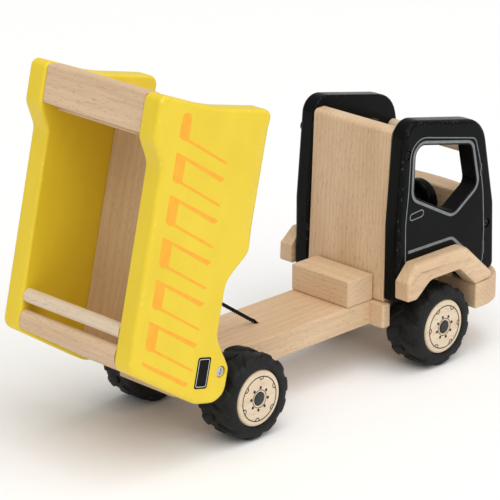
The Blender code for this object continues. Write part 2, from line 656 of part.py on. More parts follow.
def cord(hinge):
    """The cord that stops the tipper: knot, hole in the chassis, taut run, hole in the floor, knot."""
    foot_y = -CORD_FROM_REAR_AXLE
    start = (foot_y, CHASSIS_BOTTOM + KNOT_RECESS_DEPTH)
    leave = (foot_y, CHASSIS_TOP - 1.0)
    arrive = body_to_truck(CORD_FROM_PIVOT, FLOOR_UNDERSIDE - 1.0)
    end = body_to_truck(CORD_FROM_PIVOT, FLOOR_TOP - KNOT_RECESS_DEPTH)
    span = Vector(arrive) - Vector(leave)
    way = span.normalized()
    up = Vector((0.0, 1.0))
    into_floor = (Vector(end) - Vector(arrive)).normalized()
    low = Vector(leave) + way * 8.0 + up * 0.8
    high = Vector(arrive) - way * 8.0
    points = [Vector(start).lerp(Vector(leave), t / 3) for t in range(3)]
    points += [bezier(leave, Vector(leave) + up * 2.2, low - way * 4.0, low, t / 6) for t in range(7)]
    straight = 24
    points += [low.lerp(high, t / straight) for t in range(1, straight)]
    points += [bezier(high, high + way * 4.0, Vector(arrive) - into_floor * 3.0, arrive, t / 4) for t in range(5)]
    points += [Vector(arrive).lerp(Vector(end), t / 3) for t in range(1, 4)]
    curve = bpy.data.curves.new("tilt_cord", "CURVE")
    curve.dimensions = "3D"
    curve.bevel_depth = CORD_DIAMETER / 2 * METRES
    curve.bevel_resolution = 2
    curve.use_fill_caps = True
    spline = curve.splines.new("POLY")
    spline.points.add(len(points) - 1)
    for spot, (y, z) in zip(spline.points, points):
        spot.co = (0.0, y * METRES, z * METRES, 1.0)
    node = bpy.data.objects.new("tilt_cord", curve)
    bpy.context.scene.collection.objects.link(node)
    material(node, CORD)

    ball = KNOT_DIAMETER / 2
    lower = CHASSIS_BOTTOM + KNOT_RECESS_DEPTH - KNOT_DIAMETER / 2 - GAP
    upper = FLOOR_TOP - KNOT_RECESS_DEPTH + KNOT_DIAMETER / 2 + GAP
    for name, y, z, parent in (("cord_knot_chassis", foot_y, lower, None),
                               ("cord_knot_tipper", -CORD_FROM_PIVOT, upper, hinge)):
        profile = [(-ball, 0.0)]
        profile += [(-ball * math.cos(math.pi * k / 8), ball * math.sin(math.pi * k / 8)) for k in range(1, 8)]
        profile.append((ball, 0.0))
        turned(name, profile, CORD, (0.0, y, z), count=16, parent=parent)


# ---------------------------------------------------------------- whole truck

def stand_on_origin():
    """Move the truck so that the origin is the middle of its outline on the ground."""
    bpy.context.view_layer.update()
    graph = bpy.context.evaluated_depsgraph_get()
    low = math.inf
    high = -math.inf
    for node in bpy.context.scene.objects:
        if node.type not in {"MESH", "CURVE"} or node.hide_render:
            continue
        mesh = node.evaluated_get(graph).to_mesh()
        for vert in mesh.vertices:
            y = (node.matrix_world @ vert.co).y
            low = min(low, y)
            high = max(high, y)
    shift = -(low + high) / 2
    for node in bpy.context.scene.objects:
        if node.parent is None:
            node.location.y += shift
    print("moved by", round(shift, 6), "front", round(low + shift, 6), "rear", round(high + shift, 6))


def build():
    for node in list(bpy.data.objects):
        bpy.data.objects.remove(node)
    chassis()
    bumper()
    for end, y in (("rear", 0.0), ("front", FRONT_AXLE_Y)):
        axle_block(end, y)
        axle_set(end, y)
    cab(back_panel(), dash())
    hinge = pivot("tipper_pivot", PIVOT_Y, PIVOT_Z, -TILT)
    tipper(hinge)
    cord(hinge)
    stand_on_origin()


build()
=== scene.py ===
"""Looks of the wooden dump truck: boards, printed panels, treaded tyres, cord, light and camera.

Sizes are in millimetres. The truck's pieces are made with the rear axle at y = 0 and the ground at
z = 0, and the tipper's with its pivot at the origin: u runs to its head, w is up when it is lowered.
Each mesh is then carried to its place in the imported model's frame.
"""
import json
import math

import bmesh
import bpy
from mathutils import Matrix, Vector


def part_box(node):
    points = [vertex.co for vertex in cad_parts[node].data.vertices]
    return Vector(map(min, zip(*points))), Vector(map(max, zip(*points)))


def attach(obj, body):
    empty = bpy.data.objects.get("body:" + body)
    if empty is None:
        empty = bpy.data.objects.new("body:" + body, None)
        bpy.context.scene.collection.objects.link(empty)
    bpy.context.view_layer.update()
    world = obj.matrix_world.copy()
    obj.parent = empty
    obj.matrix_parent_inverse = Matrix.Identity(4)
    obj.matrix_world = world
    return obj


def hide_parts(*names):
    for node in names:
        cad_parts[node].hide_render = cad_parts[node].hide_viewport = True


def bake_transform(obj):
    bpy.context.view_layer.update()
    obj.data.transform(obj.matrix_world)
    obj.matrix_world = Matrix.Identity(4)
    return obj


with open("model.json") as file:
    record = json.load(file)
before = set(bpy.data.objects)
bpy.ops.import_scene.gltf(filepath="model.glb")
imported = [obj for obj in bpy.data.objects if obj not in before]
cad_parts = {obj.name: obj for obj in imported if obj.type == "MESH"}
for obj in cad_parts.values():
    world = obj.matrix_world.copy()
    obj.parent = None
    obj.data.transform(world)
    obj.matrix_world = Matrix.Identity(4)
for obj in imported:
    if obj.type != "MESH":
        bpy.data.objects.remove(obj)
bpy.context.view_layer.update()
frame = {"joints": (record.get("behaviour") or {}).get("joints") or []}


def joint(name):
    return next(j for j in frame["joints"] if j["name"] == name)


def middle(node):
    low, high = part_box(node)
    return (Vector(low) + Vector(high)) / 2


TILT = math.radians(joint("tipper_tilt")["range_deg"][1])
PIVOT = Vector(joint("tipper_tilt")["pos_m"])
REAR = middle("axle_rear").y
MILLIMETRES = Matrix.Scale(0.001, 4)
TRUCK = Matrix.Translation((0.0, REAR, 0.0)) @ MILLIMETRES
TIPPER = Matrix.Translation(PIVOT) @ Matrix.Rotation(-TILT, 4, "X") @ MILLIMETRES

WHEELBASE = 210.0
FRONT_AXLE = -WHEELBASE
WHEEL_Z = 34.0
TYRE_RADIUS = 34.0
TYRE_INNER = 35.5
TYRE_OUTER = 70.5
TYRE_HALF = (TYRE_OUTER - TYRE_INNER) / 2
TREAD_BASE = 32.3               # radius of the bare tyre between its lugs
LUGS = 11                       # on each side of the tread
CHASSIS_BOTTOM = 38.0
CHASSIS_TOP = 58.0
CHASSIS_HALF = 31.0
DECK = 58.3
BUMPER_TOP = 61.0
CORD_HOLE = (0.0, -66.5)        # (x, y) in the truck's frame
CAB_FLOOR = 61.3
CAB_REAR = -168.0
CAB_FRONT = -286.2
CAB_INNER = 42.0
CAB_OUTER = 57.0
FENDER_OUTER = 71.5
BODY_INNER = 52.5
BODY_OUTER = 70.5
BODY_TOP = 95.0
PIVOT_SPOT = (40.3, 67.5)       # (y, z) in the truck's frame
FLOOR_UNDER = 12.9
FLOOR_TOP = 27.9
HEAD = 207.5
INK = 0.12                      # thickness of a printed film
SUNK = 0.05                     # how far a film reaches into its board
SIDES = ((1, "left"), (-1, "right"))
GRAIN = {"x": (0.0, 0.0, 0.0), "y": (0.0, 0.0, -math.pi / 2), "z": (0.0, math.pi / 2, 0.0),
         "u": (-(math.pi - TILT), 0.0, -math.pi / 2)}


# ---- finishes

def feed(tree, node, inputs):
    """Set a node's inputs; each is a value or another node's socket."""
    for key, value in inputs.items():
        if isinstance(value, bpy.types.NodeSocket):
            tree.links.new(value, node.inputs[key])
        else:
            node.inputs[key].default_value = value


def add(tree, kind, inputs=None, **settings):
    """A new node with its settings and inputs."""
    made = tree.nodes.new(kind)
    for key, value in settings.items():
        setattr(made, key, value)
    feed(tree, made, inputs or {})
    return made


def finish(name):
    made = bpy.data.materials.new(name)
    made.use_nodes = True
    return made, made.node_tree, made.node_tree.nodes["Principled BSDF"]


def object_spot(tree):
    return add(tree, "ShaderNodeTexCoord").outputs["Object"]


def along_grain(tree, turn, offset):
    """Object coordinates turned so that X runs along the grain, in metres."""
    return add(tree, "ShaderNodeMapping", {"Vector": object_spot(tree), "Rotation": turn,
                                           "Location": offset}).outputs[0]


def noise(tree, spot, scale, detail, roughness=0.5):
    return add(tree, "ShaderNodeTexNoise", {"Vector": spot, "Scale": scale, "Detail": detail,
                                            "Roughness": roughness}).outputs[0]


def stretched(tree, spot, scale, detail=3.0, roughness=0.55):
    """Noise whose features are long along X."""
    scaled = add(tree, "ShaderNodeMapping", {"Vector": spot, "Scale": scale}).outputs[0]
    return noise(tree, scaled, 1.0, detail, roughness)


def fade(tree, value, low, high):
    """0 below low, 1 above high, and smooth between them."""
    return add(tree, "ShaderNodeMapRange", {"Value": value, "From Min": low, "From Max": high},
               interpolation_type="SMOOTHSTEP").outputs[0]


def blend(tree, share, first, second):
    return add(tree, "ShaderNodeMix", {0: share, 6: first, 7: second}, data_type="RGBA").outputs[2]


def maths(tree, operation, first, second=0.0):
    return add(tree, "ShaderNodeMath", {0: first, 1: second}, operation=operation).outputs[0]


def times(tree, first, second):
    return maths(tree, "MULTIPLY", first, second)


def summed(tree, *terms, base=None):
    """The sum of (value, share) terms and a base value."""
    total = times(tree, *terms[0])
    for value, share in terms[1:]:
        total = maths(tree, "ADD", total, times(tree, value, share))
    return total if base is None else maths(tree, "ADD", total, base)


def bump(tree, shader, height, distance, strength):
    lifted = add(tree, "ShaderNodeBump", {"Height": height, "Distance": distance, "Strength": strength})
    feed(tree, shader, {"Normal": lifted.outputs[0]})


def wood(name, grain, offset, light, dark, fleck, gloss=0.5, ring=0.0042):
    """Beech: growth rings round a far-off pith, fine pores, and short dark rays."""
    made, tree, shader = finish(name)
    spot = along_grain(tree, GRAIN[grain], offset)
    drift = stretched(tree, spot, (7.0, 45.0, 45.0), detail=2.0)
    centre = add(tree, "ShaderNodeMapping", {"Vector": spot, "Scale": (0.03, 1.0, 1.0),
                                             "Location": (0.0, 0.035, 0.11)}).outputs[0]
    reach = add(tree, "ShaderNodeVectorMath", {0: centre}, operation="LENGTH").outputs["Value"]
    rings = fade(tree, maths(tree, "SINE", summed(tree, (reach, 2 * math.pi / ring), (drift, 16.0))), -0.6, 1.0)
    pores = stretched(tree, spot, (30.0, 1150.0, 1150.0), detail=4.0, roughness=0.6)
    rays = fade(tree, stretched(tree, spot, (170.0, 1250.0, 820.0), detail=1.0), 0.60, 0.68)
    broad = fade(tree, stretched(tree, spot, (5.0, 22.0, 22.0), detail=2.0), 0.35, 0.68)
    tone = summed(tree, (rings, 0.22), (broad, 0.5), (fade(tree, pores, 0.35, 0.7), 0.32))
    colour = blend(tree, times(tree, rays, 0.4), blend(tree, tone, light, dark), fleck)
    # Spots on the rounded edges are lighter and glossier: partly rubbed wear, partly a painted highlight.
    edge_mask = add(tree, "ShaderNodeAttribute", attribute_name="edge").outputs["Fac"]
    rub_and_highlight = times(tree, edge_mask, fade(tree, stretched(tree, spot, (60.0, 140.0, 140.0)), 0.42, 0.62))
    feed(tree, shader, {
        "Base Color": blend(tree, times(tree, rub_and_highlight, 0.35), colour, light),
        "Roughness": maths(tree, "SUBTRACT", summed(tree, (pores, 0.22), base=gloss - 0.1), times(tree, rub_and_highlight, 0.1))})
    bump(tree, shader, maths(tree, "SUBTRACT", pores, times(tree, rays, 0.5)), 0.00012, 0.35)
    return made


def paint(name, grain, offset, colour, shade, scuff_and_highlight, gloss, wear_and_highlight, print_through, sheen):
    """Satin paint on wood: the grain shows through faintly; edge spots are lighter: partly worn paint, partly a
    painted highlight.
    """
    made, tree, shader = finish(name)
    spot = along_grain(tree, GRAIN[grain], offset)
    patch = stretched(tree, spot, (18.0, 30.0, 30.0))
    peel = stretched(tree, spot, (700.0, 700.0, 700.0), detail=2.0)
    fibres = stretched(tree, spot, (40.0, 900.0, 900.0))
    tone = blend(tree, fade(tree, patch, 0.3, 0.75), colour, shade)
    # Spots on the rounded edges turn to the paler scuff colour and get rougher: partly worn paint, partly a painted
    # highlight.
    edge_mask = add(tree, "ShaderNodeAttribute", attribute_name="edge").outputs["Fac"]
    chip_and_highlight_spots = stretched(tree, spot, (260.0, 420.0, 420.0), detail=4.0, roughness=0.7)
    rub_and_highlight = times(tree, edge_mask, fade(tree, chip_and_highlight_spots, 0.56, 0.66))
    rough = summed(tree, (patch, 0.14), base=gloss - 0.07)
    feed(tree, shader, {"Base Color": blend(tree, times(tree, rub_and_highlight, wear_and_highlight), tone, scuff_and_highlight),
                        "Roughness": maths(tree, "ADD", rough, times(tree, rub_and_highlight, 0.2)),
                        "Specular IOR Level": sheen})
    bump(tree, shader, summed(tree, (peel, 0.5), (fibres, print_through)), 0.0001, 0.3)
    return made


def rubber():
    made, tree, shader = finish("tyre_rubber")
    spot = object_spot(tree)
    cloud = noise(tree, spot, 90.0, 5.0)
    dust = fade(tree, noise(tree, spot, 950.0, 1.0), 0.70, 0.76)
    tone = blend(tree, fade(tree, cloud, 0.35, 0.7), (0.0085, 0.0092, 0.009, 1), (0.016, 0.017, 0.0166, 1))
    feed(tree, shader, {"Base Color": blend(tree, times(tree, dust, 0.3), tone, (0.16, 0.155, 0.15, 1)),
                        "Roughness": summed(tree, (cloud, 0.24), base=0.44), "Specular IOR Level": 0.18})
    bump(tree, shader, noise(tree, spot, 1800.0, 2.0), 0.00015, 0.3)
    return made


def ink(name, colour, second, gloss=0.42, sheen=0.4):
    """Screen-printed ink, a little uneven."""
    made, tree, shader = finish(name)
    spot = object_spot(tree)
    uneven = fade(tree, noise(tree, spot, 160.0, 4.0), 0.35, 0.7)
    grit = noise(tree, spot, 1500.0, 2.0)
    feed(tree, shader, {"Base Color": blend(tree, uneven, colour, second),
                        "Roughness": summed(tree, (grit, 0.16), base=gloss - 0.08), "Specular IOR Level": sheen})
    bump(tree, shader, grit, 0.00005, 0.25)
    return made


def steel(name, colour, second, gloss, metal=1.0):
    made, tree, shader = finish(name)
    spot = object_spot(tree)
    haze = noise(tree, spot, 420.0, 4.0)
    feed(tree, shader, {"Base Color": blend(tree, fade(tree, haze, 0.35, 0.7), colour, second),
                        "Roughness": summed(tree, (haze, 0.22), base=gloss - 0.1), "Metallic": metal})
    bump(tree, shader, stretched(tree, spot, (2600.0, 300.0, 2600.0), detail=2.0), 0.00004, 0.3)
    return made


def fibre():
    """Black cotton: matt, with a fine fuzz."""
    made, tree, shader = finish("black_cord")
    fuzz = noise(tree, object_spot(tree), 2600.0, 3.0)
    tone = blend(tree, fade(tree, fuzz, 0.4, 0.75), (0.003, 0.0031, 0.0033, 1), (0.014, 0.014, 0.0145, 1))
    feed(tree, shader, {"Base Color": tone, "Roughness": 0.85, "Sheen Weight": 0.05, "Specular IOR Level": 0.15})
    bump(tree, shader, fuzz, 0.0002, 0.6)
    return made


BEECH_LIGHT = (0.76, 0.56, 0.36, 1)
BEECH_DARK = (0.60, 0.395, 0.23, 1)
BEECH_RAY = (0.42, 0.25, 0.135, 1)
PALE_LIGHT = (0.80, 0.67, 0.50, 1)
PALE_DARK = (0.66, 0.50, 0.34, 1)
PALE_RAY = (0.50, 0.34, 0.20, 1)


def beech(name, grain, offset, ring=0.0042):
    return wood("beech_" + name, grain, offset, BEECH_LIGHT, BEECH_DARK, BEECH_RAY, ring=ring)


def yellow(name, grain, offset):
    # The third colour is the paler edge colour: partly worn paint, partly a painted highlight.
    return paint("yellow_" + name, grain, offset, (0.85, 0.632, 0.03, 1), (0.81, 0.585, 0.023, 1),
                 (0.93, 0.80, 0.25, 1), gloss=0.4, wear_and_highlight=0.5, print_through=0.5, sheen=0.4)


def black(name, grain, offset):
    # The third colour is the grey edge colour: partly worn paint, partly a painted highlight.
    return paint("black_" + name, grain, offset, (0.0026, 0.0033, 0.0031, 1), (0.0048, 0.0056, 0.0053, 1),
                 (0.075, 0.08, 0.08, 1), gloss=0.22, wear_and_highlight=0.6, print_through=0.8, sheen=0.07)


PALE = wood("pale_dowel", "x", (0.3, 0.02, 0.06), PALE_LIGHT, PALE_DARK, PALE_RAY, gloss=0.46, ring=0.006)
RIM_WOOD = wood("pale_rim", "y", (0.1, 0.3, 0.05), PALE_LIGHT, PALE_DARK, PALE_RAY, gloss=0.44, ring=0.005)
RUBBER = rubber()
ORANGE = ink("orange_print", (0.99, 0.45, 0.02, 1), (0.96, 0.40, 0.015, 1))
GREY = ink("grey_print", (0.20, 0.215, 0.225, 1), (0.155, 0.17, 0.18, 1))
DARK_PRINT = ink("dark_print", (0.012, 0.010, 0.009, 1), (0.022, 0.018, 0.015, 1), sheen=0.15)
LABEL = ink("label_black", (0.004, 0.004, 0.004, 1), (0.007, 0.007, 0.007, 1), gloss=0.4, sheen=0.08)
LABEL_LINE = ink("label_white", (0.62, 0.62, 0.6, 1), (0.55, 0.55, 0.54, 1), gloss=0.35)
HUB = ink("hub_satin_black", (0.011, 0.016, 0.0145, 1), (0.02, 0.026, 0.024, 1), gloss=0.33)
BRIGHT = steel("bright_steel", (0.66, 0.65, 0.66, 1), (0.50, 0.48, 0.49, 1), 0.3)
BLACK_STEEL = steel("black_steel", (0.02, 0.021, 0.021, 1), (0.045, 0.045, 0.045, 1), 0.36, metal=0.6)
CORD = fibre()


# ---- outlines

def corners(points, step=math.radians(11)):
    """Round each corner (a, b, radius) of a closed outline with an arc."""
    outline = []
    for index, (a, b, radius) in enumerate(points):
        here = Vector((a, b))
        before = (Vector(points[index - 1][:2]) - here).normalized()
        after = (Vector(points[(index + 1) % len(points)][:2]) - here).normalized()
        if radius <= 0:
            outline.append(here)
            continue
        inside = before.angle(after)
        turn = math.pi - inside
        centre = here + (before + after).normalized() * (radius / math.sin(inside / 2))
        start = here + before * (radius * math.tan(turn / 2)) - centre
        side = 1.0 if before.cross(after) < 0 else -1.0
        count = max(1, round(turn / step))
        for k in range(count + 1):
            angle = side * turn * k / count
            outline.append(centre + Vector((start.x * math.cos(angle) - start.y * math.sin(angle),
                                            start.x * math.sin(angle) + start.y * math.cos(angle))))
    return outline


def filled(outline, longest=9.0):
    """The same outline with extra points on its long straight runs."""
    made = []
    for index, here in enumerate(outline):
        there = outline[(index + 1) % len(outline)]
        count = max(1, math.ceil((there - here).length / longest))
        made += [here.lerp(there, k / count) for k in range(count)]
    return made


def circle(a, b, radius, count=40):
    return [Vector((a + radius * math.cos(2 * math.pi * k / count),
                    b + radius * math.sin(2 * math.pi * k / count))) for k in range(count)]


def inset_directions(outline):
    """For each point, the direction that moves both of its edges inwards by one."""
    area = sum(p.cross(outline[(k + 1) % len(outline)]) for k, p in enumerate(outline))
    turned = 1.0 if area > 0 else -1.0
    directions = []
    for index, here in enumerate(outline):
        before = (here - outline[index - 1]).normalized()
        after = (outline[(index + 1) % len(outline)] - here).normalized()
        normals = [Vector((-edge.y, edge.x)) * turned for edge in (before, after)]
        middle_way = (normals[0] + normals[1]).normalized()
        directions.append(middle_way / max(0.5, middle_way.dot(normals[0])))
    return directions


# ---- making solids

def as_mesh(name, bm):
    mesh = bpy.data.meshes.new(name)
    bm.to_mesh(mesh)
    bm.free()
    return mesh


def joined(name, meshes):
    bm = bmesh.new()
    for mesh in meshes:
        bm.from_mesh(mesh)
    return as_mesh(name, bm)


def put(name, data):
    made = bpy.data.objects.new(name, data)
    bpy.context.scene.collection.objects.link(made)
    return made


def settle(name, bm, place, material, body, stands_for, smooth, weighted=False):
    """Turn a bmesh into a finished piece: carried to its place, shaded, painted and riding on its body."""
    bmesh.ops.remove_doubles(bm, verts=bm.verts, dist=0.0001)
    bmesh.ops.recalc_face_normals(bm, faces=bm.faces)
    bmesh.ops.transform(bm, matrix=place, verts=bm.verts)
    return dress(name, as_mesh(name, bm), material, body, stands_for, smooth, weighted)


def dress(name, mesh, material, body, stands_for=(), smooth=32.0, weighted=False):
    mesh.shade_smooth()
    mesh.set_sharp_from_angle(angle=math.radians(smooth))
    mesh.materials.clear()
    mesh.materials.append(material)
    piece = put(name, mesh)
    if weighted:
        even = piece.modifiers.new("even_shading", "WEIGHTED_NORMAL")
        even.keep_sharp = True
        even.weight = 100
    if body:
        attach(piece, body)
    if stands_for:
        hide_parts(*stands_for)
    return piece


AXES = {"X": lambda a, b, c: (c, a, b), "Z": lambda a, b, c: (a, b, c)}


def plate(node, outline, low, high, axis, material, body="truck", place=TRUCK, edges=(1.5, 1.5),
          holes=(), steps=5, rim=0.8):
    """A board carried from low to high along an axis, with rounded edges.

    edges gives the rounding at the low and the high face: one radius, or one (inset, depth) pair for
    every point of the outline, which makes a broad soft bevel. The "edge" attribute is 1 on the roundings.
    """
    bm = bmesh.new()
    edge_mask = bm.verts.layers.float.new("edge")
    carried = AXES[axis]
    caps = ([], [])
    for loop, is_hole in [(outline, False)] + [(hole, True) for hole in holes]:
        rounding = []
        for value in edges:
            if isinstance(value, (int, float)):
                value = min(rim, value) if is_hole else value
                rounding.append([(value, value)] * len(loop))
            else:
                rounding.append([(rim, rim)] * len(loop) if is_hole else value)
        directions = inset_directions(loop)
        flip = -1.0 if is_hole else 1.0
        levels = [(low, 1.0, rounding[0], math.pi / 2 * k / steps) for k in range(steps + 1)]
        levels += [(high, -1.0, rounding[1], math.pi / 2 * k / steps) for k in range(steps, -1, -1)]
        rings = []
        for depth, sign, pairs, angle in levels:
            ring = []
            for point, direction, (inset, drop) in zip(loop, directions, pairs):
                a, b = point + direction * (flip * inset * (1 - math.sin(angle)))
                c = depth + sign * drop * (1 - math.cos(angle))
                vert = bm.verts.new(carried(a, b, c))
                vert[edge_mask] = math.sin(2 * angle)
                ring.append(vert)
            rings.append(ring)
        for lower, upper in zip(rings, rings[1:]):
            for k in range(len(loop)):
                n = (k + 1) % len(loop)
                bm.faces.new((lower[k], lower[n], upper[n], upper[k]))
        caps[0].append(rings[0])
        caps[1].append(rings[-1])
    for loops in caps:
        borders = [bm.edges.get((vert, ring[(k + 1) % len(ring)]))
                   for ring in loops for k, vert in enumerate(ring)]
        bmesh.ops.triangle_fill(bm, use_beauty=True, edges=borders)
    return settle(node + "_board", bm, place, material, body, [node], smooth=38.0, weighted=True)


def lathe(name, profile, material, body, stands_for, centre=(0.0, 0.0, 0.0), axis="X", count=96,
          closed=False, place=TRUCK):
    """A turned piece; profile lists (along the axis, radius)."""
    bm = bmesh.new()
    rows = []
    for along, radius in profile:
        row = []
        for k in range(1 if radius == 0 else count):
            angle = 2 * math.pi * k / count
            around = (radius * math.sin(angle), -radius * math.cos(angle))
            spot = (along, *around) if axis == "X" else (around[0], along, around[1])
            row.append(bm.verts.new(Vector(spot) + Vector(centre)))
        rows.append(row)
    pairs = list(zip(rows, rows[1:])) + ([(rows[-1], rows[0])] if closed else [])
    for first, second in pairs:
        for k in range(count):
            n = (k + 1) % count
            if len(first) == 1:
                bm.faces.new((first[0], second[n], second[k]))
            elif len(second) == 1:
                bm.faces.new((first[k], first[n], second[0]))
            else:
                bm.faces.new((first[k], first[n], second[n], second[k]))
    return settle(name, bm, place, material, body, stands_for, smooth=32.0)


def rounded_profile(points, count=4):
    """Round the corners (along, radius, rounding) of a turned profile."""
    made = []
    for k, (a, b, r) in enumerate(points):
        if r <= 0 or k in (0, len(points) - 1):
            made.append((a, b))
            continue
        here = Vector((a, b))
        before = here + (Vector(points[k - 1][:2]) - here).normalized() * r
        after = here + (Vector(points[k + 1][:2]) - here).normalized() * r
        for step in range(count + 1):
            t = step / count
            spot = before * (1 - t) ** 2 + here * 2 * t * (1 - t) + after * t ** 2
            made.append((spot.x, spot.y))
    return made


# ---- geometry nodes

def node_group(name, sizes):
    """A geometry tree with one geometry in, one out and a named input for each size."""
    tree = bpy.data.node_groups.new(name, "GeometryNodeTree")
    tree.interface.new_socket("Geometry", in_out="INPUT", socket_type="NodeSocketGeometry")
    tree.interface.new_socket("Geometry", in_out="OUTPUT", socket_type="NodeSocketGeometry")
    for key, (kind, value) in sizes.items():
        made = tree.interface.new_socket(key, in_out="INPUT", socket_type="NodeSocket" + kind)
        if value is not None:
            made.default_value = value
    return tree, tree.nodes.new("NodeGroupInput"), tree.nodes.new("NodeGroupOutput")


def end_tree(tree, geometry, incoming, output):
    real = add(tree, "GeometryNodeRealizeInstances", {0: geometry})
    painted = add(tree, "GeometryNodeSetMaterial", {0: real.outputs[0], "Material": incoming.outputs["Finish"]})
    tree.links.new(painted.outputs[0], output.inputs[0])
    return tree


def ring_tree():
    """Copies of a piece turned round the X axis, Count of them, the first at Start."""
    tree, incoming, output = node_group("copies_round_x", {"Count": ("Int", 8), "Start": ("Float", 0.0),
                                                           "Finish": ("Material", None)})
    line = add(tree, "GeometryNodeMeshLine", {"Count": incoming.outputs["Count"], "Offset": (0.0, 0.0, 0.0)})
    index = add(tree, "GeometryNodeInputIndex").outputs[0]
    share = maths(tree, "DIVIDE", index, incoming.outputs["Count"])
    angle = summed(tree, (share, 2 * math.pi), base=incoming.outputs["Start"])
    turn = add(tree, "ShaderNodeCombineXYZ", {"X": angle}).outputs[0]
    copies = add(tree, "GeometryNodeInstanceOnPoints", {"Points": line.outputs[0], "Rotation": turn,
                                                        "Instance": incoming.outputs[0]})
    return end_tree(tree, copies.outputs[0], incoming, output)


def row_tree():
    """Copies of a piece in a straight row, Pitch apart."""
    tree, incoming, output = node_group("copies_in_a_row", {"Count": ("Int", 5), "Pitch": ("Vector", (0, 0, 0)),
                                                            "Finish": ("Material", None)})
    line = add(tree, "GeometryNodeMeshLine", {"Count": incoming.outputs["Count"],
                                              "Offset": incoming.outputs["Pitch"]})
    copies = add(tree, "GeometryNodeInstanceOnPoints", {"Points": line.outputs[0],
                                                        "Instance": incoming.outputs[0]})
    return end_tree(tree, copies.outputs[0], incoming, output)


def rope_tree():
    """Three strands laid round a line: a three-lobed section carried along it and turned as it goes."""
    tree, incoming, output = node_group("laid_rope", {"Radius": ("Float", 0.0013), "Lay": ("Float", 0.009),
                                                      "Finish": ("Material", None)})
    line = add(tree, "GeometryNodeMeshToCurve", {0: incoming.outputs[0]})
    length = add(tree, "GeometryNodeSplineParameter").outputs["Length"]
    tilt = maths(tree, "DIVIDE", times(tree, length, 2 * math.pi), incoming.outputs["Lay"])
    twisted = add(tree, "GeometryNodeSetCurveTilt", {0: line.outputs[0], "Tilt": tilt})
    section = add(tree, "GeometryNodeCurvePrimitiveCircle", {"Resolution": 18, "Radius": 1.0})
    here = add(tree, "GeometryNodeInputPosition").outputs[0]
    around = add(tree, "ShaderNodeSeparateXYZ", {0: here})
    angle = maths(tree, "ARCTAN2", around.outputs[1], around.outputs[0])
    lobes = maths(tree, "ABSOLUTE", maths(tree, "COSINE", times(tree, angle, 1.5)))
    out = times(tree, summed(tree, (lobes, 0.45), base=0.55), incoming.outputs["Radius"])
    spot = add(tree, "ShaderNodeVectorMath", {0: here, 3: out}, operation="SCALE").outputs[0]
    lobed = add(tree, "GeometryNodeSetPosition", {0: section.outputs[0], "Position": spot})
    swept = add(tree, "GeometryNodeCurveToMesh", {0: twisted.outputs[0], 1: lobed.outputs[0], "Fill Caps": True})
    return end_tree(tree, swept.outputs[0], incoming, output)


RING_TREE = ring_tree()
ROW_TREE = row_tree()
ROPE_TREE = rope_tree()


def worked_out(piece):
    """The mesh that a piece's modifiers make."""
    bpy.context.view_layer.update()
    return bpy.data.meshes.new_from_object(piece.evaluated_get(bpy.context.evaluated_depsgraph_get()))


def grown(name, seed_mesh, tree, sizes, material, place=Matrix.Identity(4)):
    """Run a geometry tree on a mesh and return the result as a plain mesh in its place."""
    seed = put(name + "_seed", seed_mesh)
    grow = seed.modifiers.new("grow", "NODES")
    grow.node_group = tree
    for item in tree.interface.items_tree:
        if item.item_type == "SOCKET" and item.in_out == "INPUT" and item.name in sizes:
            grow[item.identifier] = sizes[item.name]
        elif item.item_type == "SOCKET" and item.name == "Finish":
            grow[item.identifier] = material
    mesh = worked_out(seed)
    bpy.data.objects.remove(seed)
    mesh.name = name
    mesh.transform(place)
    return mesh


def mesh_of(name, verts, faces):
    mesh = bpy.data.meshes.new(name)
    mesh.from_pydata([tuple(v) for v in verts], [], faces)
    mesh.validate()
    return mesh


def outward(mesh):
    """Merge doubles and point the faces out."""
    bm = bmesh.new()
    bm.from_mesh(mesh)
    bmesh.ops.remove_doubles(bm, verts=bm.verts, dist=1e-6)
    bmesh.ops.recalc_face_normals(bm, faces=bm.faces)
    bm.to_mesh(mesh)
    bm.free()
    return mesh


# ---- flat printing

def film(points, level, side, thick=INK):
    """A closed flat shape in a plane of constant x, as thin as ink: (verts, faces)."""
    count = len(points)
    verts = [Vector((side * (level + lift), p[0], p[1])) for lift in (-SUNK, thick) for p in points]
    faces = [tuple(range(count)), tuple(range(2 * count - 1, count - 1, -1))]
    faces += [(k, (k + 1) % count, count + (k + 1) % count, count + k) for k in range(count)]
    return verts, faces


def ribbon(path, width, level, side, closed=False, thick=INK):
    """A line of ink along a path in a plane of constant x."""
    count = len(path)
    left, right = [], []
    for k, here in enumerate(path):
        before = path[k - 1] if closed or k else here
        after = path[(k + 1) % count] if closed or k < count - 1 else here
        way = (Vector(after) - Vector(before)).normalized()
        across = Vector((-way.y, way.x)) * width / 2
        left.append(Vector(here) + across)
        right.append(Vector(here) - across)
    verts = [Vector((side * (level + lift), p.x, p.y)) for lift in (-SUNK, thick) for p in left + right]
    faces = []
    for k in range(count if closed else count - 1):
        n = (k + 1) % count
        faces += [(k, n, count + n, count + k), (2 * count + k, 3 * count + k, 3 * count + n, 2 * count + n),
                  (k, 2 * count + k, 2 * count + n, n), (count + k, count + n, 3 * count + n, 3 * count + k)]
    if not closed:
        last = count - 1
        faces += [(0, count, 3 * count, 2 * count), (last, 2 * count + last, 3 * count + last, count + last)]
    return verts, faces


def printed(name, shapes, material, body, place):
    """Join flat shapes into one printed piece."""
    verts, faces = [], []
    for shape_verts, shape_faces in shapes:
        start = len(verts)
        verts += shape_verts
        faces += [tuple(start + i for i in face) for face in shape_faces]
    mesh = mesh_of(name, verts, faces)
    mesh.transform(place)
    return dress(name, outward(mesh), material, body, smooth=30.0)


# ---- wheels

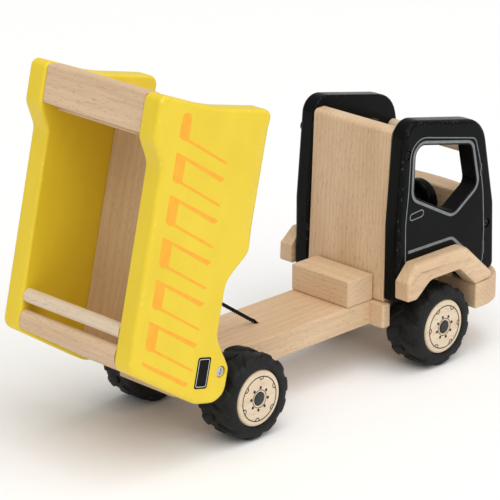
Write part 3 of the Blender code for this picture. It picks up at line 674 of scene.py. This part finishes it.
def tyre_surface(across):
    """Radius of the bare tyre at a distance from its middle plane."""
    profile = [(0.0, TREAD_BASE), (9.5, TREAD_BASE), (12.5, 32.1), (15.0, 31.3), (16.3, 30.2), (17.0, 29.0),
               (TYRE_HALF, 26.0)]
    for (a0, r0), (a1, r1) in zip(profile, profile[1:]):
        if across <= a1:
            return r0 + (r1 - r0) * ((across - a0) / (a1 - a0))
    return profile[-1][1]


def lug_mesh(side):
    """One chunky lug: it starts at the middle of the tread, sweeps back and runs over the shoulder."""
    rows = [(0.5, -0.21, 0.10, 1.2), (3.0, -0.165, 0.13, 1.7), (6.0, -0.10, 0.155, 1.7),
            (9.5, -0.03, 0.18, 1.7), (12.5, 0.03, 0.20, 1.8), (14.8, 0.07, 0.21, 1.8),
            (16.2, 0.09, 0.21, 1.7), (17.0, 0.10, 0.20, 1.1), (17.4, 0.105, 0.18, 0.3)]
    shape = [(-1.0, -0.6), (-0.9, 0.45), (-0.72, 0.9), (-0.35, 1.0), (0.35, 1.0), (0.72, 0.9), (0.9, 0.45),
             (1.0, -0.6)]
    verts = []
    for across, middle_angle, half_angle, height in rows:
        for offset, lift in shape:
            angle = middle_angle + offset * half_angle
            radius = min(tyre_surface(across) + height * lift, TYRE_RADIUS)
            verts.append(Vector((side * across, radius * math.sin(angle), radius * math.cos(angle))))
    wide = len(shape)
    faces = []
    for r in range(len(rows) - 1):
        for k in range(wide - 1):
            faces.append((r * wide + k, r * wide + k + 1, (r + 1) * wide + k + 1, (r + 1) * wide + k))
        faces.append((r * wide, (r + 1) * wide, (r + 1) * wide + wide - 1, r * wide + wide - 1))
    faces.append(tuple(range(wide)))
    faces.append(tuple(range(len(rows) * wide - 1, (len(rows) - 1) * wide - 1, -1)))
    return outward(mesh_of("lug", verts, faces))


def tyre(node, place, body):
    """The bare tyre with two rows of lugs, joined into one piece."""
    steps = [(1.6, 22.8), (0.7, 23.0), (0.2, 23.7), (0.0, 24.8), (0.0, 26.0), (0.2, 27.6), (0.5, 29.0), (0.8, 29.4),
             (1.2, 30.2), (2.5, 31.3), (5.0, 32.1), (8.0, TREAD_BASE)]
    outer = [(TYRE_HALF - step, radius) for step, radius in steps]
    profile = outer + [(0.0, TREAD_BASE)] + [(-a, r) for a, r in reversed(outer)]
    carcass = lathe(node + "_carcass", profile, RUBBER, None, [], count=120, closed=True, place=place)
    lugs = [grown("lugs", lug_mesh(side), RING_TREE, {"Count": LUGS, "Start": start}, RUBBER, place)
            for side, start in ((1, 0.0), (-1, math.pi / LUGS))]
    mesh = joined(node + "_treaded", [carcass.data] + lugs)
    bpy.data.objects.remove(carcass)
    dress(node + "_treaded", mesh, RUBBER, body, [node], smooth=50.0)


def notch_print(side):
    """A half-round printed against the inside of the rim's circle."""
    radius, reach = 2.1, 17.5
    path = [(radius * math.cos(math.pi * k / 10), reach - radius * math.sin(math.pi * k / 10)) for k in range(11)]
    return mesh_of("notch", *ribbon(path, 0.7, 0.0, side))


def wheel(end, name, side, place):
    """Tyre, turned rim with its printed bolts and circle, and black hub cap."""
    body = end + "_wheelset"
    key = end + "_" + name
    tyre("tyre_" + key, place, body)
    back, face = -TYRE_HALF + 1.5, TYRE_HALF + 0.2
    rim = [(back, 3.8, 0), (back, 21.5, 0.8), (back + 1.5, 22.5, 0.5), (face - 3.4, 22.5, 0.8),
           (face - 1.5, 22.2, 0.8), (face - 0.2, 20.9, 0.9), (face, 18.9, 0.8), (face, 5.6, 0.4),
           (face - 2.0, 5.5, 0.2), (face - 2.0, 3.8, 0)]
    cap = [(face - 1.6, 0.0, 0), (face - 1.6, 5.2, 0), (face + 0.05, 5.2, 0.5), (face + 0.3, 4.2, 0.6),
           (face + 0.34, 0.0, 0)]
    rim, cap = ([(side * a, r) for a, r in rounded_profile(points)] for points in (rim, cap))
    lathe("rim_" + key + "_turned", rim, RIM_WOOD, body, ["rim_" + key], closed=True, place=place)
    lathe("hub_cap_" + key + "_domed", cap, HUB, body, ["hub_cap_" + key], count=48, place=place)
    dot = mesh_of("dot", *film(circle(0.0, 8.9, 1.2, 20), face, side, 0.1))
    prints = [grown("dots", dot, RING_TREE, {"Count": 8, "Start": 0.0}, DARK_PRINT, place),
              grown("notches", notch_print(side), RING_TREE, {"Count": 6, "Start": 0.0}, DARK_PRINT,
                    place @ Matrix.Translation((side * face, 0, 0)))]
    for radius, width in ((7.1, 0.5), (17.7, 0.75)):
        prints.append(mesh_of("ring", *ribbon(circle(0.0, 0.0, radius, 96), width, face, side, True)))
        prints[-1].transform(place)
    mesh = joined("rim_print_" + key, prints)
    dress("rim_print_" + key, outward(mesh), DARK_PRINT, body, smooth=30.0)


def wheels():
    for end, y, turn in (("rear", 0.0, 0.14), ("front", FRONT_AXLE, 0.56)):
        for side, name in SIDES:
            centre = TRUCK @ Vector((side * (TYRE_INNER + TYRE_OUTER) / 2, y, WHEEL_Z))
            wheel(end, name, side, Matrix.Translation(centre) @ Matrix.Rotation(turn, 4, "X") @ MILLIMETRES)
        reach = 67.9
        profile = [(-reach, 0.0), (-reach, 2.9), (-reach + 0.6, 3.5), (reach - 0.6, 3.5), (reach, 2.9), (reach, 0.0)]
        lathe("axle_" + end + "_rod", profile, BRIGHT, end + "_wheelset", ["axle_" + end],
              (0.0, y, WHEEL_Z), count=40)


# ---- chassis and cab

def cross_board(node, points, reach, grain, offset, edges, body="truck", place=TRUCK):
    """A beech board that lies across the truck, from -reach to reach."""
    name = node.removeprefix("tipper_").removeprefix("cab_")
    plate(node, corners(points), -reach, reach, "X", beech(name, grain, offset), body, place, edges)


def chassis():
    beam, shoulder, front = CHASSIS_HALF, 46.0, -246.7
    half = [(beam, 51.0, 3.0), (beam, CAB_REAR + 4.0, 0.0), (shoulder, CAB_REAR + 4.0, 2.0),
            (shoulder, -173.0, 2.0), (beam, -173.0, 0.0), (beam, front, 0.0)]
    outline = corners(half + [(-x, y, r) for x, y, r in reversed(half)])
    plate("chassis_board", outline, CHASSIS_BOTTOM, CHASSIS_TOP, "Z", beech("chassis", "y", (0.12, 0.05, -0.03)),
          edges=(1.2, 1.2), holes=[circle(*CORD_HOLE, 2.5, 28)])
    cross_board("stop_block", [(-167.7, DECK, 0.8), (-138.7, DECK, 0.8), (-138.7, 80.1, 0.9), (-167.7, 80.1, 0.9)],
                beam, "x", (0.02, 0.11, 0.05), (0.9, 0.9))
    cross_board("pivot_block", [(31.1, DECK, 3.0), (49.5, DECK, 3.0), (49.5, 76.7, 3.0), (31.1, 76.7, 3.0)],
                51.5, "x", (0.07, 0.02, 0.01), (0.8, 0.8))
    top, foot, groove = 37.7, 23.0, 3.9
    for end, y in (("rear", 0.0), ("front", FRONT_AXLE)):
        angles = [math.pi + math.pi * k / 16 for k in range(17)]
        arc = [Vector((y + groove * math.cos(a), WHEEL_Z + groove * math.sin(a))) for a in angles]
        outer = corners([(y + 12, top, 0.6), (y + 12, foot, 3.0), (y - 12, foot, 3.0), (y - 12, top, 0.6)])
        name = "axle_block_" + end
        plate(name, outer + [Vector((y - groove, top))] + arc + [Vector((y + groove, top))], -beam, beam, "X",
              beech(name, "x", (0.01, 0.03, 0.2 + y * 0.001)), edges=(0.3, 0.3))
    back, nose = -247.0, -294.0
    plate("bumper", corners([(FENDER_OUTER, back, 1.5), (-FENDER_OUTER, back, 1.5), (-FENDER_OUTER, nose, 35.0),
                             (FENDER_OUTER, nose, 35.0)]),
          39.0, BUMPER_TOP, "Z", beech("bumper", "x", (0.3, -0.06, 0.02)), edges=(2.2, 2.0))


def cab_outline():
    return corners([
        (CAB_REAR, CAB_FLOOR, 2.0), (CAB_REAR, CAB_FLOOR + 62.7, 20.0), (CAB_REAR - 7.7, CAB_FLOOR + 149.8, 15.0),
        (CAB_FRONT + 16.7, CAB_FLOOR + 130.6, 25.0), (CAB_FRONT + 2.0, CAB_FLOOR + 57.7, 20.0),
        (CAB_FRONT, CAB_FLOOR, 6.0), (FRONT_AXLE - 41.0, CAB_FLOOR, 1.0), (FRONT_AXLE - 20.0, 82.0, 3.0),
        (FRONT_AXLE + 20.0, 82.0, 6.0), (FRONT_AXLE + 29.0, CAB_FLOOR, 1.0)])


def window_outline(grow=0.0):
    y, z = FRONT_AXLE, CAB_FLOOR
    made = corners([(y + 22.4, z + 127.4, 9.0), (y - 43.0, z + 113.4, 7.0), (y - 51.0, z + 78.0, 8.0),
                    (y - 23.0, z + 60.5, 9.0), (y + 23.9, z + 85.0, 9.0)])
    return [p - d * grow for p, d in zip(made, inset_directions(made))]


def fender(side, name):
    y = FRONT_AXLE
    shape = [(y + 44.7, 66.6, 2.0, 2.0), (y + 44.7, 82.1, 2.0, 3.2), (y + 32.5, 94.8, 3.0, 7.0),
             (y - 29.1, 94.8, 14.0, 8.0), (y - 62.6, CAB_FLOOR, 4.0, 3.5), (y - 37.0, CAB_FLOOR, 0.0, 1.4),
             (y - 17.5, 79.0, 3.0, 1.4), (y + 18.0, 79.0, 12.0, 1.4), (y + 34.0, 66.6, 5.0, 1.4)]
    outline, rounding = [], []
    for index in range(len(shape)):
        here = corners([(p[0], p[1], p[2] if k == index else 0.0) for k, p in enumerate(shape)])
        arc = here[index:len(here) - (len(shape) - 1 - index)]
        outline += arc
        rounding += [(shape[index][3],) * 2] * len(arc)
    flat = [(0.4, 0.4)] * len(outline)
    low, high = sorted((side * (CAB_OUTER + 0.3), side * FENDER_OUTER))
    plate("fender_" + name, outline, low, high, "X", beech("fender_" + name, "y", (0.1 * side, 0.2, 0.04)),
          edges=(flat, rounding)[::side], steps=6)


def screw(node, side, centre, face, length, head, shank, material, turn, body="truck"):
    """A cross-head screw whose head sits a little below the board's face."""
    top = face - 0.8
    under = top - 2.2
    tip = face - length
    profile = rounded_profile([
        (tip, 0.0, 0), (tip + 2.0, shank / 2, 0), (under, shank / 2, 0), (under, head / 2, 0.15),
        (top - 0.7, head / 2, 0.4), (top - 0.12, head / 2 - 0.9, 0.6), (top, 0.0, 0)])
    piece = lathe(node + "_raw", [(side * a, r) for a, r in profile], material, None, [], (0.0, *centre),
                  count=48)
    cutters = []
    for extra in (0.0, math.pi / 2):
        bm = bmesh.new()
        bmesh.ops.create_cube(bm, size=1.0)
        reach = head * 0.34
        for vert in bm.verts:
            outer = vert.co.x > 0
            vert.co = Vector((side * (0.6 if outer else -1.3), vert.co.y * (2 * reach if outer else reach * 1.1),
                              vert.co.z * (head * 0.165 if outer else head * 0.12)))
        bmesh.ops.transform(bm, matrix=TRUCK @ Matrix.Translation((side * top, *centre))
                            @ Matrix.Rotation(turn + extra, 4, "X"), verts=bm.verts)
        bmesh.ops.recalc_face_normals(bm, faces=bm.faces)
        cutter = put("cross", as_mesh("cross", bm))
        cut = piece.modifiers.new("cross", "BOOLEAN")
        cut.object = cutter
        cut.solver = "EXACT"
        cutters.append(cutter)
    mesh = worked_out(piece)
    for spare in (piece, *cutters):
        bpy.data.objects.remove(spare)
    mesh.name = node + "_cross_head"
    dress(node + "_cross_head", mesh, material, body, [node])


def door_line(side, name):
    """Grey lines printed on the outer face: window edge, door with its hinges and handle, and wheel arch."""
    door = [(-176.9, 93.9, 0.0), (-176.4, 124.9, 30.0), (-179.4, 151.8, 40.0), (-181.9, 196.5, 15.0),
            (-258.3, 179.2, 7.0), (-264.4, 159.6, 20.0), (-269.3, 130.3, 30.0), (-271.4, 98.0, 30.0),
            (-270.6, 73.0, 3.0), (-268.4, 69.6, 0.0)]
    handle = [(-181.6, 132.6, 2.4), (-197.4, 133.9, 3.0), (-197.4, 128.2, 3.0), (-181.6, 127.4, 2.4)]
    arch = [(-180.1, 101.6, 0.0), (-232.6, 101.0, 9.0), (-249.5, 86.0, 0.0)]
    bars = [[(-266.4, 145.7), (-265.6, 155.6)], [(-271.1, 77.5), (-271.2, 88.2)]]
    lines = [(corners(door), 0.9, False), (corners(arch), 2.4, False), (corners(handle), 0.9, True),
             (window_outline(2.5), 2.3, True)] + [(bar, 2.0, False) for bar in bars]
    shapes = [ribbon(path, width, CAB_OUTER, side, closed) for path, width, closed in lines]
    printed("cab_print_" + name, shapes, GREY, "truck", TRUCK)


def cab():
    lean = math.tan(math.radians(2.5))
    top, rear = 200.3, CAB_REAR - 0.2
    slope = -lean * (top - DECK)
    half, thick = CAB_INNER - 0.3, 15.0
    cross_board("cab_back_panel", [(rear, DECK, 1.5), (rear + slope, top, 4.5), (rear + slope - thick, top, 4.5),
                                   (rear - thick, DECK, 1.5)],
                half, "z", (0.0, 0.03, 0.09), (0.8, 0.8))
    back, thick, bow = CAB_FRONT + 21.2, 20.0, 5.0
    bend = (half ** 2 + bow ** 2) / (2 * bow)
    spread = math.asin(half / bend)
    outline = [Vector((half, back)), Vector((-half, back))]
    outline += [Vector((bend * math.sin(a), back - thick + bend - bend * math.cos(a)))
                for a in (-spread + 2 * spread * k / 24 for k in range(25))]
    plate("cab_front_panel", outline, CAB_FLOOR, 127.0, "Z", beech("front_panel", "x", (0.0, 0.09, 0.12)),
          edges=(0.8, 2.0))
    pin_z = 114.0
    end = back + 15.4
    pin = rounded_profile([(back - 8.0, 0.0, 0), (back - 8.0, 3.0, 0.4), (end, 3.0, 0), (end, 5.2, 0.4),
                           (end + 1.9, 4.3, 0.8), (end + 2.4, 0.0, 0)])
    lathe("steering_pin_turned", pin, black("steering_pin", "y", (0.3, 0.2, 0.1)), "truck",
          ["steering_pin"], (0.0, 0.0, pin_z), axis="Y", count=48)
    near, far = end - 10.4, end - 0.4
    rim = rounded_profile([(near, 3.4, 0), (near, 12.5, 0.8), (near, 15.0, 0.3), (near, 18.0, 2.6),
                           (far, 18.0, 2.6), (far, 13.4, 1.2), (far - 1.0, 11.4, 0.8), (far - 1.0, 6.6, 0.8),
                           (far, 5.6, 0.5), (far, 3.4, 0)])
    lathe("steering_wheel_turned", rim, black("steering_wheel", "x", (0.1, 0.2, 0.3)), "steering",
          ["steering_wheel"], (0.0, 0.0, pin_z), axis="Y", closed=True)
    places = (("rear", (-178.8, 182.3), 0.5), ("front", (-275.0, 102.8), 1.1))
    for side, name in SIDES:
        low, high = sorted((side * CAB_INNER, side * CAB_OUTER))
        outline = filled(cab_outline(), 14.0)
        plate("cab_side_" + name, outline, low, high, "X", black("cab_" + name, "z", (0.2 * side, 0.0, 0.1)),
              edges=(1.8, 4.2)[::side],
              holes=[window_outline()] + [circle(*centre, 3.6, 28) for _, centre, _ in places], steps=6)
        door_line(side, name)
        for end_name, centre, turn in places:
            screw("cab_screw_" + name + "_" + end_name, side, centre, CAB_OUTER, 27.0, 6.4, 3.0, BLACK_STEEL,
                  turn)
        fender(side, name)
    dowel("roof_dowel", half, (0.0, CAB_FRONT + 18.4, CAB_FLOOR + 104.7), "truck", TRUCK)


def dowel(node, reach, centre, body, place):
    profile = [(-reach, 0.0), (-reach, 5.2), (-reach + 0.3, 5.5), (reach - 0.3, 5.5), (reach, 5.2), (reach, 0.0)]
    lathe(node + "_turned", profile, PALE, body, [node], centre, count=64, place=place)


# ---- tipper body

def body_points(points):
    return [(-u, w, radius) for u, w, radius in points]


def tail_line(w, inset):
    slope = 27.5 / 75.0
    return 3.0 - (BODY_TOP - w) * slope + inset / math.cos(math.atan(slope))


def side_outline():
    return filled(corners(body_points([
        (-24.5, -8.5, 14.0), (-24.5, 20.0, 20.0), (3.0, BODY_TOP, 9.0), (HEAD - 52.0, BODY_TOP, 12.0),
        (HEAD - 34.0, 106.5, 12.0), (HEAD, 106.5, 6.0), (HEAD - 9.0, 50.0, 90.0), (HEAD - 9.0, -10.5, 8.0),
        (91.0, -10.5, 16.0), (69.0, 8.8, 16.0), (27.0, 8.8, 16.0), (3.0, -8.5, 10.0)])), 7.0)


def deep_bevel(outline):
    """(inset, depth) of the outer rounding: broad and soft along the deep lower edge, plain elsewhere."""
    pairs = []
    for point in outline:
        u, w = -point.x, point.y
        share = 0.0
        if w < 0.0 and u > 88.0:
            share = min(1.0, max(0.0, (u - 90.0) / 26.0)) * min(1.0, max(0.0, (196.0 - u) / 16.0))
            share = share * share * (3 - 2 * share)
        plain = 2.9 if -20.0 < u < 12.0 and w < 4.0 else 3.5
        pairs.append((plain + 12.5 * share, plain + 0.6 * share))
    return pairs


def band_film(shape, shift, side):
    """A flat shape of the printed band, given in (u, w) with corner roundings."""
    outline = corners([(-(u + shift + 0.94), w + 3.4, radius) for u, w, radius in shape])
    return film(outline, BODY_OUTER, side)


ARM = [(-1.2, 69.7, 0.0), (-18.3, 26.6, 0.4), (-19.8, 27.4, 0.4), (-2.6, 71.0, 0.0), (-2.0, 76.4, 1.6),
       (0.6, 79.6, 1.3)]
UNIT = [(20.5, 79.7, 0.5), (1.0, 26.0, 0.6), (-1.6, 29.6, 0.6), (14.6, 69.4, 0.0)] + ARM
HEAD_UNIT = [(17.7, 79.3, 4.3), (17.7, 69.9, 4.3)] + ARM
TAIL_UNIT = [(11.3, 81.9, 0.6), (-8.0, 29.2, 0.6), (-10.5, 32.8, 0.6), (7.5, 78.8, 0.6)]


def body_print(side, name):
    """Orange band on the outer face: five repeats, an open one at the head and a closing arm at the tail."""
    seed = mesh_of("unit", *band_film(UNIT, 20.6, side))
    repeats = grown("repeats", seed, ROW_TREE, {"Count": 5, "Pitch": (0.0, -31.1, 0.0)}, ORANGE)
    ends = [mesh_of("end", *band_film(shape, shift, side)) for shape, shift in ((HEAD_UNIT, 176.3), (TAIL_UNIT, 0.0))]
    mesh = joined("body_print_" + name, [repeats] + ends)
    mesh.transform(TIPPER)
    dress("body_print_" + name, outward(mesh), ORANGE, "tipper", smooth=30.0)


def label():
    """A plain black label with a thin white line round it and no words, on the right side only."""
    def oblong(inset, radius):
        u0, u1, w0, w1 = -11.9 + inset, 12.2 - inset, 12.8 + inset, 26.2 - inset
        return corners(body_points([(u0, w0, radius), (u1, w0, radius), (u1, w1, radius), (u0, w1, radius)]))
    thick = 0.16
    printed("label_plate", [film(oblong(0.0, 2.0), BODY_OUTER, -1, thick)], LABEL, "tipper", TIPPER)
    printed("label_line", [ribbon(oblong(1.5, 1.2), 0.5, BODY_OUTER + thick, -1, True, 0.06)], LABEL_LINE, "tipper",
            TIPPER)


def tipper():
    for side, name in SIDES:
        low, high = sorted((side * BODY_INNER, side * BODY_OUTER))
        outline = side_outline()
        plain = [(2.5, 2.5)] * len(outline)
        plate("tipper_side_" + name, outline, low, high, "X", yellow("side_" + name, "u", (0.3 * side, 0.1, 0.0)),
              "tipper", TIPPER, edges=(plain, deep_bevel(outline))[::side],
              holes=[circle(0.0, 0.0, 4.7, 36)], steps=6, rim=0.25)
        body_print(side, name)
        screw("pivot_screw_" + name, side, PIVOT_SPOT, BODY_OUTER, 41.0, 9.0, 4.4, BRIGHT, 0.35)
    inner, thick = BODY_INNER - 0.3, 15
    head, tail = HEAD - 21.5, tail_line(FLOOR_TOP, 1.5)
    bar_top, bar_head = 105.0, HEAD - 2.0
    foot, wall_top, sunk, round_top = 28.2, 89.7, 2.3, 7.1
    boards = (
        ("tipper_floor", "u", (0.05, 0.04, -0.02),
         [(tail, FLOOR_UNDER, 1.5), (tail, FLOOR_TOP, 1.5), (head, FLOOR_TOP, 1.5), (head, FLOOR_UNDER, 1.5)]),
        ("tipper_head_bar", "x", (0.4, 0.01, 0.03),
         [(bar_head - 29.5, bar_top - thick, 4.0), (bar_head - 29.5, bar_top, 2.5), (bar_head, bar_top, 2.5),
          (bar_head, bar_top - thick, 2.0)]),
        ("tipper_head_wall", "x", (0.25, 0.06, -0.04),
         [(head - thick, foot, 0.8), (head - thick, wall_top, 0.8), (head, wall_top, 0.8), (head, foot, 0.8)]),
        ("tipper_tail_board", "x", (0.15, 0.0, 0.07),
         [(tail_line(foot, sunk), foot, 0.8), (tail_line(BODY_TOP, sunk), BODY_TOP, round_top),
          (tail_line(BODY_TOP, sunk + thick), BODY_TOP, round_top * 0.75),
          (tail_line(foot, sunk + thick), foot, 0.8)]))
    for node, grain, offset, points in boards:
        cross_board(node, body_points(points), inner, grain, offset, (0.5, 0.5), "tipper", TIPPER)
    dowel("tipper_dowel", inner, (0.0, -30.0, BODY_TOP - 5.5), "tipper", TIPPER)
    label()


# ---- cord

def bezier(first, second, third, fourth, t):
    a, b, c, d = (Vector(p) for p in (first, second, third, fourth))
    return a * (1 - t) ** 3 + b * 3 * t * (1 - t) ** 2 + c * 3 * t ** 2 * (1 - t) + d * t ** 3


def cord_route():
    """The cord's centreline in (y, z), in millimetres, from the chassis hole to the tipper's floor."""
    def of_tipper(u, w):
        return Vector((PIVOT_SPOT[0] - u * math.cos(TILT) + w * math.sin(TILT),
                       PIVOT_SPOT[1] + u * math.sin(TILT) + w * math.cos(TILT)))
    start, leave = Vector((CORD_HOLE[1], 46.0)), Vector((CORD_HOLE[1], 57.0))
    arrive, end = of_tipper(61.5, 11.9), of_tipper(61.5, 19.9)
    way = (arrive - leave).normalized()
    up = Vector((0.0, 1.0))
    into = (end - arrive).normalized()
    low = leave + way * 8.0 + up * 0.8
    high = arrive - way * 8.0
    points = [start.lerp(leave, t / 3) for t in range(3)]
    points += [bezier(leave, leave + up * 2.2, low - way * 4.0, low, t / 6) for t in range(7)]
    points += [low.lerp(high, t / 24) for t in range(1, 24)]
    points += [bezier(high, high + way * 4.0, arrive - into * 3.0, arrive, t / 4) for t in range(5)]
    points += [arrive.lerp(end, t / 3) for t in range(1, 4)]
    return points


def rope(name, spots, radius, closed=False):
    """A laid rope along points in metres."""
    edges = [(k, k + 1) for k in range(len(spots) - 1)] + ([(len(spots) - 1, 0)] if closed else [])
    line = bpy.data.meshes.new(name + "_line")
    line.from_pydata([tuple(p) for p in spots], edges, [])
    mesh = grown(name, line, ROPE_TREE, {"Radius": radius, "Lay": 0.0085}, CORD)
    return outward(mesh)


def even(points, spacing):
    """The same line with points a fixed distance apart."""
    made = [points[0].copy()]
    left = spacing
    for first, second in zip(points, points[1:]):
        run = (second - first).length
        while run >= left and run > 0:
            first = first.lerp(second, left / run)
            run = (second - first).length
            made.append(first.copy())
            left = spacing
        left -= run
    made.append(points[-1].copy())
    return made


def cord():
    route = [TRUCK @ Vector((0.0, p.x, p.y)) for p in cord_route()]
    spots = even(route, 0.0006)
    piece = dress("tilt_cord_laid", rope("tilt_cord_laid", spots, 0.00162), CORD, None, smooth=60.0)
    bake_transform(piece)
    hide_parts("tilt_cord")
    for name, body in (("chassis", "truck"), ("tipper", "tipper")):
        node = "cord_knot_" + name
        centre = middle(node)
        loops = []
        for k in range(120):
            t = 2 * math.pi * k / 120
            loops.append(centre + 0.00072 * Vector((math.sin(t) + 2 * math.sin(2 * t),
                                                    math.cos(t) - 2 * math.cos(2 * t), -1.6 * math.sin(3 * t))))
        mesh = rope("knot_" + name, loops, 0.00125, closed=True)
        dress("knot_" + name, mesh, CORD, body, [node], smooth=60.0)


# ---- studio

def face_along(holder, direction):
    holder.rotation_euler = direction.to_track_quat("-Z", "Y").to_euler()


def camera():
    turn, rise = math.radians(225.1), math.radians(19.94)
    back = Vector((math.sin(turn) * math.cos(rise), -math.cos(turn) * math.cos(rise), math.sin(rise)))
    lens = bpy.data.cameras.new("camera")
    eye = put("camera", lens)
    place = Matrix.Translation((-1.4837, 1.4199 + REAR, 0.8801))
    eye.matrix_world = place @ back.to_track_quat("Z", "Y").to_matrix().to_4x4()
    lens.lens = 207.4
    lens.sensor_width = 36.0
    lens.shift_x = 0.0032
    lens.clip_end = 100.0
    bpy.context.scene.camera = eye


def lamp(name, spot, aim, size, power):
    light = bpy.data.lights.new(name, "AREA")
    light.shape = "DISK"
    light.size = size
    light.energy = power
    holder = put(name, light)
    holder.location = spot
    face_along(holder, Vector(aim) - Vector(spot))


def studio():
    """A matt white floor, a white surround, a broad soft sun and two round lamps."""
    reach, level = 12.0, -0.0002
    floor = mesh_of("studio_floor", [(-reach, -reach, level), (reach, -reach, level), (reach, reach, level),
                                     (-reach, reach, level)], [(0, 1, 2, 3)])
    matt, tree, shader = finish("studio_white")
    feed(tree, shader, {"Base Color": (0.96, 0.96, 0.96, 1), "Roughness": 0.9, "Specular IOR Level": 0.1})
    floor.materials.append(matt)
    put("studio_floor", floor)
    world = bpy.data.worlds.new("studio")
    world.use_nodes = True
    tree = world.node_tree
    glow = tree.nodes["Background"]
    feed(tree, glow, {"Color": (1.0, 1.0, 1.0, 1), "Strength": 0.52})
    seen = add(tree, "ShaderNodeBackground", {"Color": (1.0, 1.0, 1.0, 1), "Strength": 0.97})
    path = add(tree, "ShaderNodeLightPath")
    either = add(tree, "ShaderNodeMixShader", {0: path.outputs["Is Camera Ray"], 1: glow.outputs[0],
                                               2: seen.outputs[0]})
    feed(tree, tree.nodes["World Output"], {0: either.outputs[0]})
    bpy.context.scene.world = world
    sun = bpy.data.lights.new("soft_sun", "SUN")
    sun.energy = 1.75
    sun.angle = math.radians(75)
    sun.color = (1.0, 0.99, 0.97)
    face_along(put("soft_sun", sun), Vector((1.0, -0.3, -2.0)))
    lamp("key", (-1.7, 0.5, 1.1), (0, 0, 0.12), 0.5, 1.8)
    lamp("top", (-0.3, -0.2, 1.9), (0, 0, 0.1), 0.7, 2.0)
    bpy.context.scene.view_settings.view_transform = "Standard"


camera()
cord()
wheels()
chassis()
cab()
tipper()
studio()
